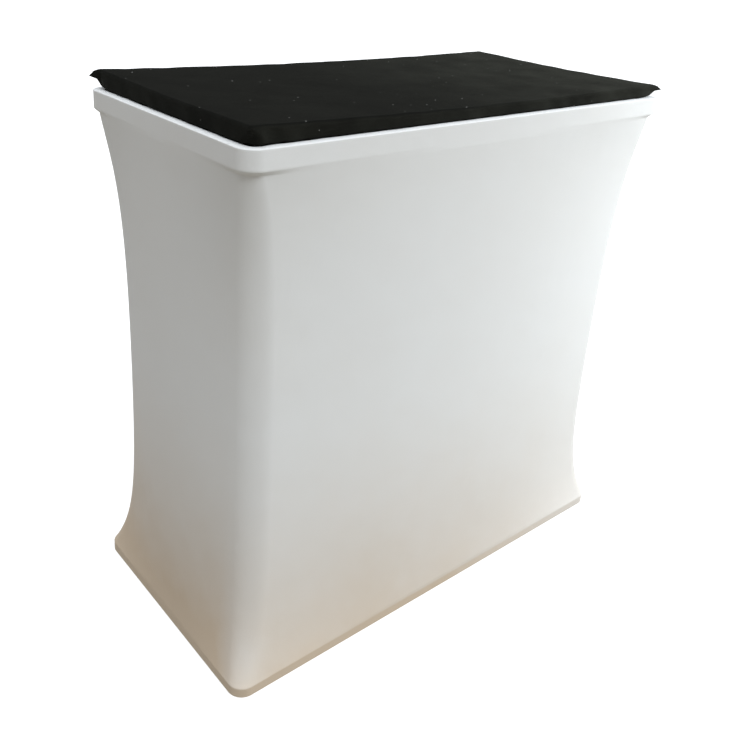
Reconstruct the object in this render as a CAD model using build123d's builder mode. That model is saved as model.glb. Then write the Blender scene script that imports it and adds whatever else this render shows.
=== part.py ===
"""Free-standing exhibition counter: two boards on four posts, an elastic fabric sleeve
stretched over them, a raised lip round the top board, and a loose covered lid that
drops into it. Millimetres, +X along the wide front, +Y to the back, +Z up, with the
origin on the floor under the middle of the counter."""

import os
from math import atan, cos, exp, radians, sin

from build123d import *

os.makedirs("parts", exist_ok=True)

# Overall sizes, measured over the fabric
counter_width = 1000.0
counter_depth = 505.0
rim_height = 980.0
lid_rise = 25.0

# Fabric sleeve
fabric = 1.0
rim_radius = 30.0
base_radius = 40.0
waist_radius = 85.0
waist_inset = 22.0
face_inset = 8.0
zip_inset = 3.0
top_turn_drop = 8.0
base_turn_rise = 6.0
top_draw_length = 100.0
base_draw_length = 75.0
turn_share = 0.15
level_shares = (0.34, 0.58, 0.75, 0.875, 0.955, 1.0)
top_hem_drop = 10.5
base_hem_width = 25.0
elastic_width = 6.0
elastic_thickness = 1.2
sewing_gap = 0.2
least_radius = 3.0

# Boards and lip
base_thickness = 18.0
top_thickness = 18.0
lip_width = 18.0
lip_rise = 11.0
shelf_inset_x = 50.0
shelf_inset_y = 42.5
shelf_thickness = 16.0
shelf_height = 480.0
shelf_radius = 60.0

# Glides under the base board
glide_rise = 3.0
glide_size = 36.0
glide_inset_x = 60.0
glide_inset_y = 57.5

# Square posts, their sockets, bolts and joiners
post_size = 30.0
post_wall = 1.6
post_edge = 1.0
post_inset_x = 115.0
post_inset_y = 107.5
post_fit = 0.3
flange_size = 70.0
flange_thickness = 5.0
flange_edge = 6.0
cup_size = 37.0
cup_depth = 36.0
cup_edge = 1.0
bolt_radius = 4.0
bolt_gap = 0.1
bolt_length = 17.0
bolt_head_radius = 7.5
bolt_head_height = 5.3
bolt_head_sides = 6
spigot_length = 40.0
spigot_edge = 2.0
collar_size = 44.0
collar_thickness = 4.0
shelf_hole_gap = 0.5

# Zip at the centre of the back
zip_bottom = 64.0
zip_headroom = 80.0
zip_slot = 13.0
zip_slot_spare = 6.0
tape_width = 15.0
tape_thickness = 0.7
tape_spare = 12.0
teeth_gap = 1.2
teeth_width = 3.4
teeth_thickness = 2.6
stop_length = 4.0
stop_thickness = 3.0
slider_length = 14.0
slider_shoulder = 2.0
slider_wall = 1.2
slider_gap = 0.3
bottom_gap = 1.0
bridge_width = 2.4
bridge_length = 8.0
bridge_wall = 1.1
pull_length = 34.0
pull_width = 8.0
pull_thickness = 1.4
pull_bar = 0.8
pull_head = 1.0
pull_window_width = 3.6
pull_window_length = 7.4
pull_lift = 1.6
pull_radius = 1.8

# Lid
lid_margin = 15.0
lid_bevel = 12.0
lid_radius = 6.0
lid_edge = 3.0
lid_cover = 1.5
lid_seat = 0.3
lid_fit = 0.2
lid_hem_width = 50.0
ear_reach_x = 12.0
ear_reach_y = 9.5
ear_root = 34.0
ear_thickness = 4.0
ear_drop = 1.0

# One overrun for every cut
overrun = 5.0

# Levels and places worked out from the sizes above
half_width = counter_width / 2
half_depth = counter_depth / 2
board_width = counter_width - 2 * fabric
board_depth = counter_depth - 2 * fabric
base_underside = glide_rise
base_surface = base_underside + base_thickness
lip_top = rim_height - fabric
tray_floor = lip_top - lip_rise
top_underside = tray_floor - top_thickness
lip_radius = rim_radius - fabric
tray_width = board_width - 2 * lip_width
tray_depth = board_depth - 2 * lip_width
tray_radius = lip_radius - lip_width
drop = top_underside - base_surface
glide_spacing_x = half_width - glide_inset_x
glide_spacing_y = counter_depth - 2 * glide_inset_y
post_spacing_x = counter_width - 2 * post_inset_x
post_spacing_y = counter_depth - 2 * post_inset_y
shelf_width = counter_width - 2 * shelf_inset_x
shelf_depth = counter_depth - 2 * shelf_inset_y
post_bore = post_size - 2 * post_wall
zip_plane = half_depth - zip_inset - fabric - sewing_gap - tape_thickness / 2
zip_top = rim_height - zip_headroom
zip_rest = zip_top - slider_length
slider_face = zip_plane + teeth_thickness / 2 + slider_gap + slider_wall
bridge_foot = zip_rest + (slider_length - bridge_length) / 2
pivot_y = slider_face + pull_lift
pivot_z = bridge_foot + bridge_wall + slider_gap + pull_bar
lid_underside = tray_floor + lid_seat
lid_top = rim_height + lid_rise
lid_top_width = counter_width - 2 * lid_margin
lid_top_depth = counter_depth - 2 * lid_margin
lid_foot_width = lid_top_width - 2 * lid_bevel
lid_foot_depth = lid_top_depth - 2 * lid_bevel

corners = {
    "front_left": (-1, -1),
    "front_right": (1, -1),
    "back_left": (-1, 1),
    "back_right": (1, 1),
}


def save(piece, name):
    """Label a finished piece and write it under its own name."""
    piece.part.label = name
    export_step(piece.part, f"parts/{name}.step")


def post_place(sides):
    """Centre of the post at one corner, as x and y."""
    return (sides[0] * post_spacing_x / 2, sides[1] * post_spacing_y / 2)


def hold(distance, turn, length):
    """How firmly a board still holds the fabric out, from 1 at its edge to 0 at the other.

    The fabric turns in sharply at first and then fades towards the waist.
    """
    turned = turn_share * min(distance / turn, 1)
    tail = exp(-(drop - turn) / length)
    fade = exp(-max(distance - turn, 0) / length)
    return (1 - turned) * (fade - tail) / (1 - tail)


def skirt_section(level, skin):
    """Outline of the stretched fabric at a level, taken in by the skin's thickness.

    Four round corners, each touching four face arcs that bulge a little past them.
    """
    top_hold = hold(top_underside - level, top_turn_drop, top_draw_length)
    base_hold = hold(level - base_surface, base_turn_rise, base_draw_length)
    drawn = 1 - top_hold - base_hold
    inset = waist_inset * drawn
    radius = waist_radius
    radius -= (waist_radius - rim_radius) * top_hold
    radius -= (waist_radius - base_radius) * base_hold
    centre_x = half_width - inset - radius
    centre_y = half_depth - inset - radius
    radius -= skin
    side_bulge = inset - face_inset * drawn
    front_bulge = side_bulge
    back_bulge = inset - min(zip_inset, inset)
    side_lean = 2 * atan(side_bulge / centre_y)
    front_lean = 2 * atan(front_bulge / centre_x)
    back_lean = 2 * atan(back_bulge / centre_x)
    side_x = centre_x + radius * cos(side_lean)
    side_y = centre_y + radius * sin(side_lean)
    front_x = centre_x + radius * sin(front_lean)
    front_y = centre_y + radius * cos(front_lean)
    back_x = centre_x + radius * sin(back_lean)
    back_y = centre_y + radius * cos(back_lean)
    front_turn = (side_lean + radians(90) - front_lean) / 2
    back_turn = (side_lean + radians(90) - back_lean) / 2
    front_mid = (centre_x + radius * cos(front_turn), centre_y + radius * sin(front_turn))
    back_mid = (centre_x + radius * cos(back_turn), centre_y + radius * sin(back_turn))
    right_crest = (centre_x + radius + side_bulge, 0)
    left_crest = (-right_crest[0], 0)
    front_crest = (0, -(centre_y + radius + front_bulge))
    back_crest = (0, centre_y + radius + back_bulge)
    with BuildSketch(Plane.XY.offset(level)) as section:
        with BuildLine():
            if drawn > 0:
                ThreePointArc((-front_x, -front_y), front_crest, (front_x, -front_y))
                ThreePointArc((side_x, -side_y), right_crest, (side_x, side_y))
                ThreePointArc((back_x, back_y), back_crest, (-back_x, back_y))
                ThreePointArc((-side_x, side_y), left_crest, (-side_x, -side_y))
            else:
                Line((-front_x, -front_y), (front_x, -front_y))
                Line((side_x, -side_y), (side_x, side_y))
                Line((back_x, back_y), (-back_x, back_y))
                Line((-side_x, side_y), (-side_x, -side_y))
            ThreePointArc((front_x, -front_y), (front_mid[0], -front_mid[1]), (side_x, -side_y))
            ThreePointArc((side_x, side_y), back_mid, (back_x, back_y))
            ThreePointArc((-back_x, back_y), (-back_mid[0], back_mid[1]), (-side_x, side_y))
            ThreePointArc((-side_x, -side_y), (-front_mid[0], -front_mid[1]), (-front_x, -front_y))
        make_face()
    return section.sketch


def skirt_levels():
    """Levels of the drawn-in skirt's sections, closest together near the boards."""
    waist = base_surface + drop / 2
    top_first = top_underside - top_turn_drop
    base_first = base_surface + base_turn_rise
    levels = [waist - (waist - base_first) * share for share in reversed(level_shares)]
    levels += [waist]
    levels += [waist + (top_first - waist) * share for share in level_shares]
    return levels


def ring(level, height, width, depth, radius, wall):
    """Upright band round the counter, with its outer size and the wall it has inside."""
    with BuildPart() as band:
        with BuildSketch(Plane.XY.offset(level)):
            RectangleRounded(width, depth, radius)
            RectangleRounded(width - 2 * wall, depth - 2 * wall, max(radius - wall, least_radius),
                             mode=Mode.SUBTRACT)
        extrude(amount=height)
    return band.part


# Base board, with pilot holes for the socket bolts
with BuildPart() as base_board:
    with BuildSketch(Plane.XY.offset(base_underside)):
        RectangleRounded(board_width, board_depth, base_radius - fabric)
    extrude(amount=base_thickness)
    with BuildSketch(Plane.XY.offset(base_surface)):
        with GridLocations(post_spacing_x, post_spacing_y, 2, 2):
            Circle(bolt_radius + bolt_gap)
    extrude(amount=flange_thickness - bolt_length - bolt_gap, mode=Mode.SUBTRACT)
save(base_board, "base_board")

# Six low pads that the base board stands on
with BuildPart() as base_glides:
    with BuildSketch():
        with GridLocations(glide_spacing_x, glide_spacing_y, 3, 2):
            Rectangle(glide_size, glide_size)
    extrude(amount=glide_rise)
save(base_glides, "base_glides")

# Top board, the floor of the tray, with pilot holes from below
with BuildPart() as top_board:
    with BuildSketch(Plane.XY.offset(top_underside)):
        RectangleRounded(board_width, board_depth, lip_radius)
    extrude(amount=top_thickness)
    with BuildSketch(Plane.XY.offset(top_underside)):
        with GridLocations(post_spacing_x, post_spacing_y, 2, 2):
            Circle(bolt_radius + bolt_gap)
    extrude(amount=bolt_length - flange_thickness + bolt_gap, mode=Mode.SUBTRACT)
save(top_board, "top_board")

# Four mitred lip rails that stand on the top board round the tray
mitre_x = board_width / 2 + overrun
mitre_y = board_depth / 2 + overrun
mitre_inner = mitre_x - mitre_y
rail_wedges = {
    "lip_rail_front": ((-mitre_x, -mitre_y), (mitre_x, -mitre_y), (mitre_inner, 0), (-mitre_inner, 0)),
    "lip_rail_back": ((mitre_x, mitre_y), (-mitre_x, mitre_y), (-mitre_inner, 0), (mitre_inner, 0)),
    "lip_rail_left": ((-mitre_x, mitre_y), (-mitre_x, -mitre_y), (-mitre_inner, 0)),
    "lip_rail_right": ((mitre_x, -mitre_y), (mitre_x, mitre_y), (mitre_inner, 0)),
}
for rail_name, wedge in rail_wedges.items():
    with BuildPart() as lip_rail:
        with BuildSketch(Plane.XY.offset(tray_floor)):
            RectangleRounded(board_width, board_depth, lip_radius)
            RectangleRounded(tray_width, tray_depth, tray_radius, mode=Mode.SUBTRACT)
            with BuildLine():
                Polyline(*wedge, close=True)
            make_face(mode=Mode.INTERSECT)
        extrude(amount=lip_rise)
    save(lip_rail, rail_name)


def bolt():
    """Hexagon-headed wood bolt that points down, with the seat of its head at the origin."""
    with BuildPart() as fastener:
        with BuildSketch():
            RegularPolygon(bolt_head_radius, bolt_head_sides)
        extrude(amount=bolt_head_height)
        with BuildSketch():
            Circle(bolt_radius)
        extrude(amount=-bolt_length)
    return fastener.part


# Bolts down through the base sockets, with their heads inside the cups
with BuildPart() as base_socket_bolts:
    with Locations((0, 0, base_surface + flange_thickness)):
        with GridLocations(post_spacing_x, post_spacing_y, 2, 2):
            add(bolt())
save(base_socket_bolts, "base_socket_bolts")

# The same bolts upside down, for the top sockets
with BuildPart() as top_socket_bolts:
    with Locations(Plane(origin=(0, 0, top_underside - flange_thickness), x_dir=(1, 0, 0), z_dir=(0, 0, -1))):
        with GridLocations(post_spacing_x, post_spacing_y, 2, 2):
            add(bolt())
save(top_socket_bolts, "top_socket_bolts")


def socket(seat):
    """Square flange with a cup that takes the end of a post, built up from a board."""
    with BuildPart() as holder:
        with BuildSketch(seat) as flange:
            Rectangle(flange_size, flange_size)
            chamfer(flange.vertices(), flange_edge)
        extrude(amount=flange_thickness)
        with BuildSketch(seat.offset(flange_thickness)) as cup:
            Rectangle(cup_size, cup_size)
            chamfer(cup.vertices(), cup_edge)
            Rectangle(post_size + 2 * post_fit, post_size + 2 * post_fit, mode=Mode.SUBTRACT)
        extrude(amount=cup_depth)
        with BuildSketch(seat):
            Circle(bolt_radius + bolt_gap)
        extrude(amount=flange_thickness, mode=Mode.SUBTRACT)
    return holder


def tube(foot, head, place):
    """Square post between two levels, open at both ends."""
    with BuildPart() as post:
        with BuildSketch(Plane.XY.offset(foot)) as wall:
            with Locations(place):
                Rectangle(post_size, post_size)
                chamfer(wall.vertices(), post_edge)
                Rectangle(post_bore, post_bore, mode=Mode.SUBTRACT)
        extrude(amount=head - foot)
    return post


def joiner(place):
    """Plug between two posts, with the collar that carries the shelf round its neck."""
    spigot = post_bore - 2 * post_fit
    neck_top = shelf_height + shelf_thickness + post_fit
    lower_seat = Plane(origin=(place[0], place[1], shelf_height - collar_thickness))
    upper_seat = Plane(origin=(place[0], place[1], neck_top))
    with BuildPart() as plug:
        with BuildSketch(lower_seat):
            Rectangle(collar_size, collar_size)
        extrude(amount=collar_thickness)
        with BuildSketch(lower_seat):
            Rectangle(post_size, post_size)
        extrude(amount=neck_top - lower_seat.origin.Z)
        for seat, length in ((lower_seat, -spigot_length), (upper_seat, spigot_length)):
            with BuildSketch(seat):
                Rectangle(spigot, spigot)
            extrude(amount=length)
        chamfer(plug.faces().sort_by(Axis.Z)[0].edges(), spigot_edge)
        chamfer(plug.faces().sort_by(Axis.Z)[-1].edges(), spigot_edge)
    return plug


# Sockets, posts and joiners at the four corners
for corner_name, sides in corners.items():
    spot = post_place(sides)
    base_seat = Plane(origin=(spot[0], spot[1], base_surface))
    top_seat = Plane(origin=(spot[0], spot[1], top_underside), x_dir=(1, 0, 0), z_dir=(0, 0, -1))
    save(socket(base_seat), f"base_socket_{corner_name}")
    save(socket(top_seat), f"top_socket_{corner_name}")
    lower_top = shelf_height - collar_thickness
    upper_foot = shelf_height + shelf_thickness + post_fit
    save(tube(base_surface + flange_thickness, lower_top, spot), f"lower_post_{corner_name}")
    save(tube(upper_foot, top_underside - flange_thickness, spot), f"upper_post_{corner_name}")
    save(joiner(spot), f"post_joiner_{corner_name}")

# Shelf, threaded over the joiners' necks and resting on their collars
shelf_hole = post_size + 2 * shelf_hole_gap
with BuildPart() as shelf:
    with BuildSketch(Plane.XY.offset(shelf_height)):
        RectangleRounded(shelf_width, shelf_depth, shelf_radius)
        with GridLocations(post_spacing_x, post_spacing_y, 2, 2):
            Rectangle(shelf_hole, shelf_hole, mode=Mode.SUBTRACT)
    extrude(amount=shelf_thickness)
save(shelf, "shelf")

# Stretched sleeve: drawn-in skirt, bands over both boards, hems and the slot for the zip
with BuildPart() as sleeve:
    for skin, mode in ((0, Mode.ADD), (fabric, Mode.SUBTRACT)):
        skirt = [skirt_section(level, skin) for level in skirt_levels()]
        loft(sections=skirt, mode=mode)
        loft(sections=[skirt_section(base_surface, skin), skirt[0]], ruled=True, mode=mode)
        loft(sections=[skirt[-1], skirt_section(top_underside, skin)], ruled=True, mode=mode)
    add(ring(top_underside, rim_height - top_underside, counter_width, counter_depth, rim_radius, fabric))
    add(ring(lip_top, fabric, counter_width, counter_depth, rim_radius, lip_width + 2 * fabric))
    add(ring(lip_top - top_hem_drop, top_hem_drop, tray_width, tray_depth, tray_radius, fabric))
    add(ring(base_underside - fabric, base_thickness + fabric, counter_width, counter_depth,
             base_radius, fabric))
    add(ring(base_underside - fabric, fabric, counter_width, counter_depth, base_radius, base_hem_width))
    with BuildSketch(Plane.XY.offset(zip_bottom - zip_slot_spare)):
        with Locations((0, half_depth)):
            Rectangle(zip_slot, half_depth)
    extrude(amount=zip_top - zip_bottom + 2 * zip_slot_spare, mode=Mode.SUBTRACT)
save(sleeve, "sleeve")

# Elastic tapes in the two hems
hem_reach = 2 * fabric + 2 * sewing_gap
with BuildPart() as sleeve_top_elastic:
    add(ring(tray_floor + sewing_gap, elastic_width, tray_width - hem_reach, tray_depth - hem_reach,
             tray_radius - fabric - sewing_gap, elastic_thickness))
save(sleeve_top_elastic, "sleeve_top_elastic")

base_elastic_inset = base_hem_width + sewing_gap
with BuildPart() as sleeve_bottom_elastic:
    add(ring(base_underside - fabric, fabric, counter_width - 2 * base_elastic_inset,
             counter_depth - 2 * base_elastic_inset, base_radius - base_elastic_inset, elastic_width))
save(sleeve_bottom_elastic, "sleeve_bottom_elastic")


def zip_strip(side, inner, width, thickness, foot, head):
    """Upright strip in the zip's plane, on one side of its centre line."""
    with BuildPart() as strip:
        with BuildSketch(Plane.XY.offset(foot)):
            with Locations((side * (inner + width / 2), zip_plane)):
                Rectangle(width, thickness)
        extrude(amount=head - foot)
    return strip


# Zip tapes, rows of teeth and stops
teeth_inner = teeth_gap / 2
tape_inner = teeth_inner + teeth_width
stop_width = teeth_width
for side_name, side in {"left": -1, "right": 1}.items():
    tape = zip_strip(side, tape_inner, tape_width, tape_thickness, zip_bottom - tape_spare, zip_top + tape_spare)
    save(tape, f"zip_tape_{side_name}")
    row = zip_strip(side, teeth_inner, teeth_width, teeth_thickness, zip_bottom, zip_top)
    save(row, f"zip_teeth_{side_name}")

with BuildPart() as zip_top_stops:
    for side in (-1, 1):
        add(zip_strip(side, teeth_inner, stop_width, stop_thickness, zip_top, zip_top + stop_length).part)
save(zip_top_stops, "zip_top_stops")

with BuildPart() as zip_bottom_stop:
    with BuildSketch(Plane.XY.offset(zip_bottom - stop_length)):
        with Locations((0, zip_plane)):
            Rectangle(2 * tape_inner, stop_thickness)
    extrude(amount=stop_length)
save(zip_bottom_stop, "zip_bottom_stop")

# Slider: two plates with flanges over the teeth, a thin divider between the rows, and the
# bridge that carries the pull
slider_half = tape_inner + slider_gap + slider_wall
plate_inner = teeth_thickness / 2 + slider_gap
flange_end = tape_thickness / 2 + slider_gap
with BuildPart() as zip_slider:
    with BuildSketch(Plane.XZ.offset(-(zip_plane - plate_inner - slider_wall))):
        with BuildLine():
            Polyline(
                (-slider_half + slider_shoulder, zip_rest),
                (slider_half - slider_shoulder, zip_rest),
                (slider_half, zip_rest + slider_length / 2),
                (slider_half, zip_top),
                (-slider_half, zip_top),
                (-slider_half, zip_rest + slider_length / 2),
                close=True,
            )
        make_face()
    extrude(amount=-2 * (plate_inner + slider_wall))
    with BuildSketch(Plane.XY.offset(zip_rest)):
        with Locations((0, zip_plane)):
            Rectangle(2 * (tape_inner + slider_gap), 2 * plate_inner)
            Rectangle(2 * (slider_half + overrun), 2 * flange_end)
            Rectangle(teeth_gap - 2 * slider_gap, 2 * plate_inner, mode=Mode.SUBTRACT)
    extrude(amount=slider_length, mode=Mode.SUBTRACT)
    bridge_reach = slider_face + pull_lift + pull_bar + slider_gap
    bridge_head = bridge_foot + bridge_length
    with BuildSketch(Plane.YZ.offset(-bridge_width / 2)):
        with BuildLine():
            Polyline(
                (slider_face, bridge_foot),
                (bridge_reach + bridge_wall, bridge_foot),
                (bridge_reach + bridge_wall, bridge_head),
                (slider_face, bridge_head),
                (slider_face, bridge_head - bridge_wall),
                (bridge_reach, bridge_head - bridge_wall),
                (bridge_reach, bridge_foot + bridge_wall),
                (slider_face, bridge_foot + bridge_wall),
                close=True,
            )
        make_face()
    extrude(amount=bridge_width)
save(zip_slider, "zip_slider")

# Pull: a flat tab with a window for the bridge and a round bar that turns in it
with BuildPart() as zip_pull:
    with BuildSketch(Plane.XZ.offset(-(pivot_y - pull_thickness / 2))):
        with Locations((0, pivot_z + pull_head - pull_length / 2)):
            RectangleRounded(pull_width, pull_length, pull_radius)
        with Locations((0, pivot_z + (overrun - pull_window_length) / 2)):
            Rectangle(pull_window_width, pull_window_length + overrun, mode=Mode.SUBTRACT)
    extrude(amount=-pull_thickness)
    with BuildSketch(Plane.YZ.offset(-pull_width / 2 + pull_radius)):
        with Locations((pivot_y, pivot_z)):
            Circle(pull_bar)
    extrude(amount=pull_width - 2 * pull_radius)
save(zip_pull, "zip_pull")


def lid_solid(foot, head, taken_in):
    """Bevelled block of the lid between two levels, taken in all round."""
    lean_x = (lid_top_width - lid_foot_width) / (lid_top - lid_underside)
    lean_y = (lid_top_depth - lid_foot_depth) / (lid_top - lid_underside)
    ends = []
    for level in (foot, head):
        width = lid_foot_width + lean_x * (level - lid_underside) - 2 * taken_in
        depth = lid_foot_depth + lean_y * (level - lid_underside) - 2 * taken_in
        with BuildSketch(Plane.XY.offset(level)) as end:
            RectangleRounded(width, depth, lid_radius)
        ends.append(end.sketch)
    with BuildPart() as block:
        loft(sections=ends)
    return block.part


# Lid board, bevelled so that it drops into the tray
board_gap = lid_cover + lid_fit
with BuildPart() as lid_board:
    add(lid_solid(lid_underside + board_gap, lid_top - board_gap, board_gap))
save(lid_board, "lid_board")

# Cover drawn over the board and gathered under it, with sewn points at the corners
with BuildPart() as lid_cover_skin:
    add(lid_solid(lid_underside, lid_top, 0))
    chamfer(lid_cover_skin.faces().sort_by(Axis.Z)[-1].edges(), lid_edge)
    with BuildSketch(Plane.XY.offset(lid_top - lid_edge - ear_drop - ear_thickness)):
        for side_x, side_y in corners.values():
            corner_x = side_x * lid_top_width / 2
            corner_y = side_y * lid_top_depth / 2
            with BuildLine():
                Polyline(
                    (corner_x - side_x * ear_root, corner_y - side_y * lid_edge),
                    (corner_x + side_x * ear_reach_x, corner_y + side_y * ear_reach_y),
                    (corner_x - side_x * lid_edge, corner_y - side_y * ear_root),
                    (corner_x - side_x * ear_root, corner_y - side_y * ear_root),
                    close=True,
                )
            make_face()
    extrude(amount=ear_thickness)
    add(lid_solid(lid_underside + lid_cover, lid_top - lid_cover, lid_cover), mode=Mode.SUBTRACT)
    with BuildSketch(Plane.XY.offset(lid_underside - overrun)):
        RectangleRounded(lid_foot_width - 2 * lid_hem_width, lid_foot_depth - 2 * lid_hem_width, lid_radius)
    extrude(amount=overrun + 2 * lid_cover, mode=Mode.SUBTRACT)
save(lid_cover_skin, "lid_cover")

# Elastic tape that gathers the cover under the board
lid_elastic_width = lid_foot_width - 2 * (lid_hem_width + sewing_gap)
lid_elastic_depth = lid_foot_depth - 2 * (lid_hem_width + sewing_gap)
with BuildPart() as lid_elastic:
    add(ring(lid_underside, lid_cover, lid_elastic_width, lid_elastic_depth, lid_radius, elastic_width))
save(lid_elastic, "lid_elastic")

print("zip travel", zip_rest - zip_bottom - bottom_gap)
print("pull pivot", pivot_y, pivot_z)
print("lid top", lid_top, "tray floor", tray_floor)
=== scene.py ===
"""Looks of a free-standing exhibition counter under a stretched white fabric sleeve.

Everything is in metres unless it says otherwise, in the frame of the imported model: +X runs
along the wide front, +Y to the back and +Z up, with the origin on the floor under the middle
of the counter. Loops of points are arrays by row, by column and by axis.
"""

import logging
from dataclasses import dataclass, field
from enum import Enum
from functools import partial
from math import atan, cos, exp, pi, radians, sin, tau
from typing import Iterable, Sequence

import bmesh
import bpy
import numpy as np
from mathutils import Matrix, Vector, noise


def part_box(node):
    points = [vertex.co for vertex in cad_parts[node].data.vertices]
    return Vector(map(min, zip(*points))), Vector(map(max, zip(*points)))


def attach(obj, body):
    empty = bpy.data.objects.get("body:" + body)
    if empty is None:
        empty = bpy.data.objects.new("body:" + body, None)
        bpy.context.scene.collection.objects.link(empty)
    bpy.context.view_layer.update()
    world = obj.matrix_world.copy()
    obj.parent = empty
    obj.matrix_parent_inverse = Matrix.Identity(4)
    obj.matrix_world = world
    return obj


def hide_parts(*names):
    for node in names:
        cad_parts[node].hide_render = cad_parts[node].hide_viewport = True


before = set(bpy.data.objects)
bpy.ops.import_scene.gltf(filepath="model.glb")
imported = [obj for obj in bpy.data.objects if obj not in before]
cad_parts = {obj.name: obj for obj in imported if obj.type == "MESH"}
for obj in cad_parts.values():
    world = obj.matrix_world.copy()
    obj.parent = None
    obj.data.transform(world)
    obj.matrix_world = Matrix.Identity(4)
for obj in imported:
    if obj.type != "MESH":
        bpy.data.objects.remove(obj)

log = logging.getLogger("exhibition_counter")

Piece = bpy.types.Object
Material = bpy.types.Material
Socket = bpy.types.NodeSocket
Array = np.ndarray
Pair = tuple[float, float]
Triple = tuple[float, float, float]

# Margin for comparing lengths, in metres
HAIR = 1e-6

# Radians by which the wave texture turns for each scaled unit along it
WAVE_TURNS = 20.0


class Body(str, Enum):
    """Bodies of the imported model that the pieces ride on."""

    COUNTER = "counter"
    LID = "lid"
    SLIDER = "zip_slider"
    PULL = "zip_pull"


class Side(Enum):
    """Left or right of the zip, as seen from the front, by the sign of X."""

    LEFT = -1
    RIGHT = 1


class Across(Enum):
    """Axis that a material's stripes are counted along."""

    X = "X"
    Y = "Y"
    Z = "Z"


class Chart(Enum):
    """Coordinates that a material is laid out in."""

    OBJECT = "Object"
    CLOTH = "UV"


@dataclass(frozen=True)
class Extent:
    """Lowest and highest corner of a CAD node at rest."""

    low: Vector
    high: Vector

    @classmethod
    def of(cls, node: str) -> "Extent":
        """Box of one CAD node."""
        low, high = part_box(node)
        return cls(Vector(low), Vector(high))

    @property
    def half(self) -> Vector:
        """Half of the box's size along each axis."""
        return (self.high - self.low) / 2

    @property
    def middle(self) -> Vector:
        """Middle of the box."""
        return (self.high + self.low) / 2


@dataclass(frozen=True)
class Ripple:
    """Smooth waves of mixed lengths round a closed loop, the same in every run.

    Attributes:
        seed: Picks the waves' phases.
        fewest: Number of the longest waves round the loop.
        most: Number of the shortest waves round the loop.
        kinds: How many wave lengths are mixed.
    """

    seed: int
    fewest: int
    most: int
    kinds: int = 9

    def at(self, share: Array) -> Array:
        """Height of the waves.

        Args:
            share: Places round the loop, from 0 to 1.

        Returns:
            Heights that mostly stay between -1 and 1.
        """
        phases = np.random.default_rng(self.seed).uniform(0, tau, self.kinds)
        counts = np.round(np.linspace(self.fewest, self.most, self.kinds))
        waves = [np.sin(tau * count * share + phase) for count, phase in zip(counts, phases)]
        return np.sum(waves, axis=0) / self.kinds**0.5


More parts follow.
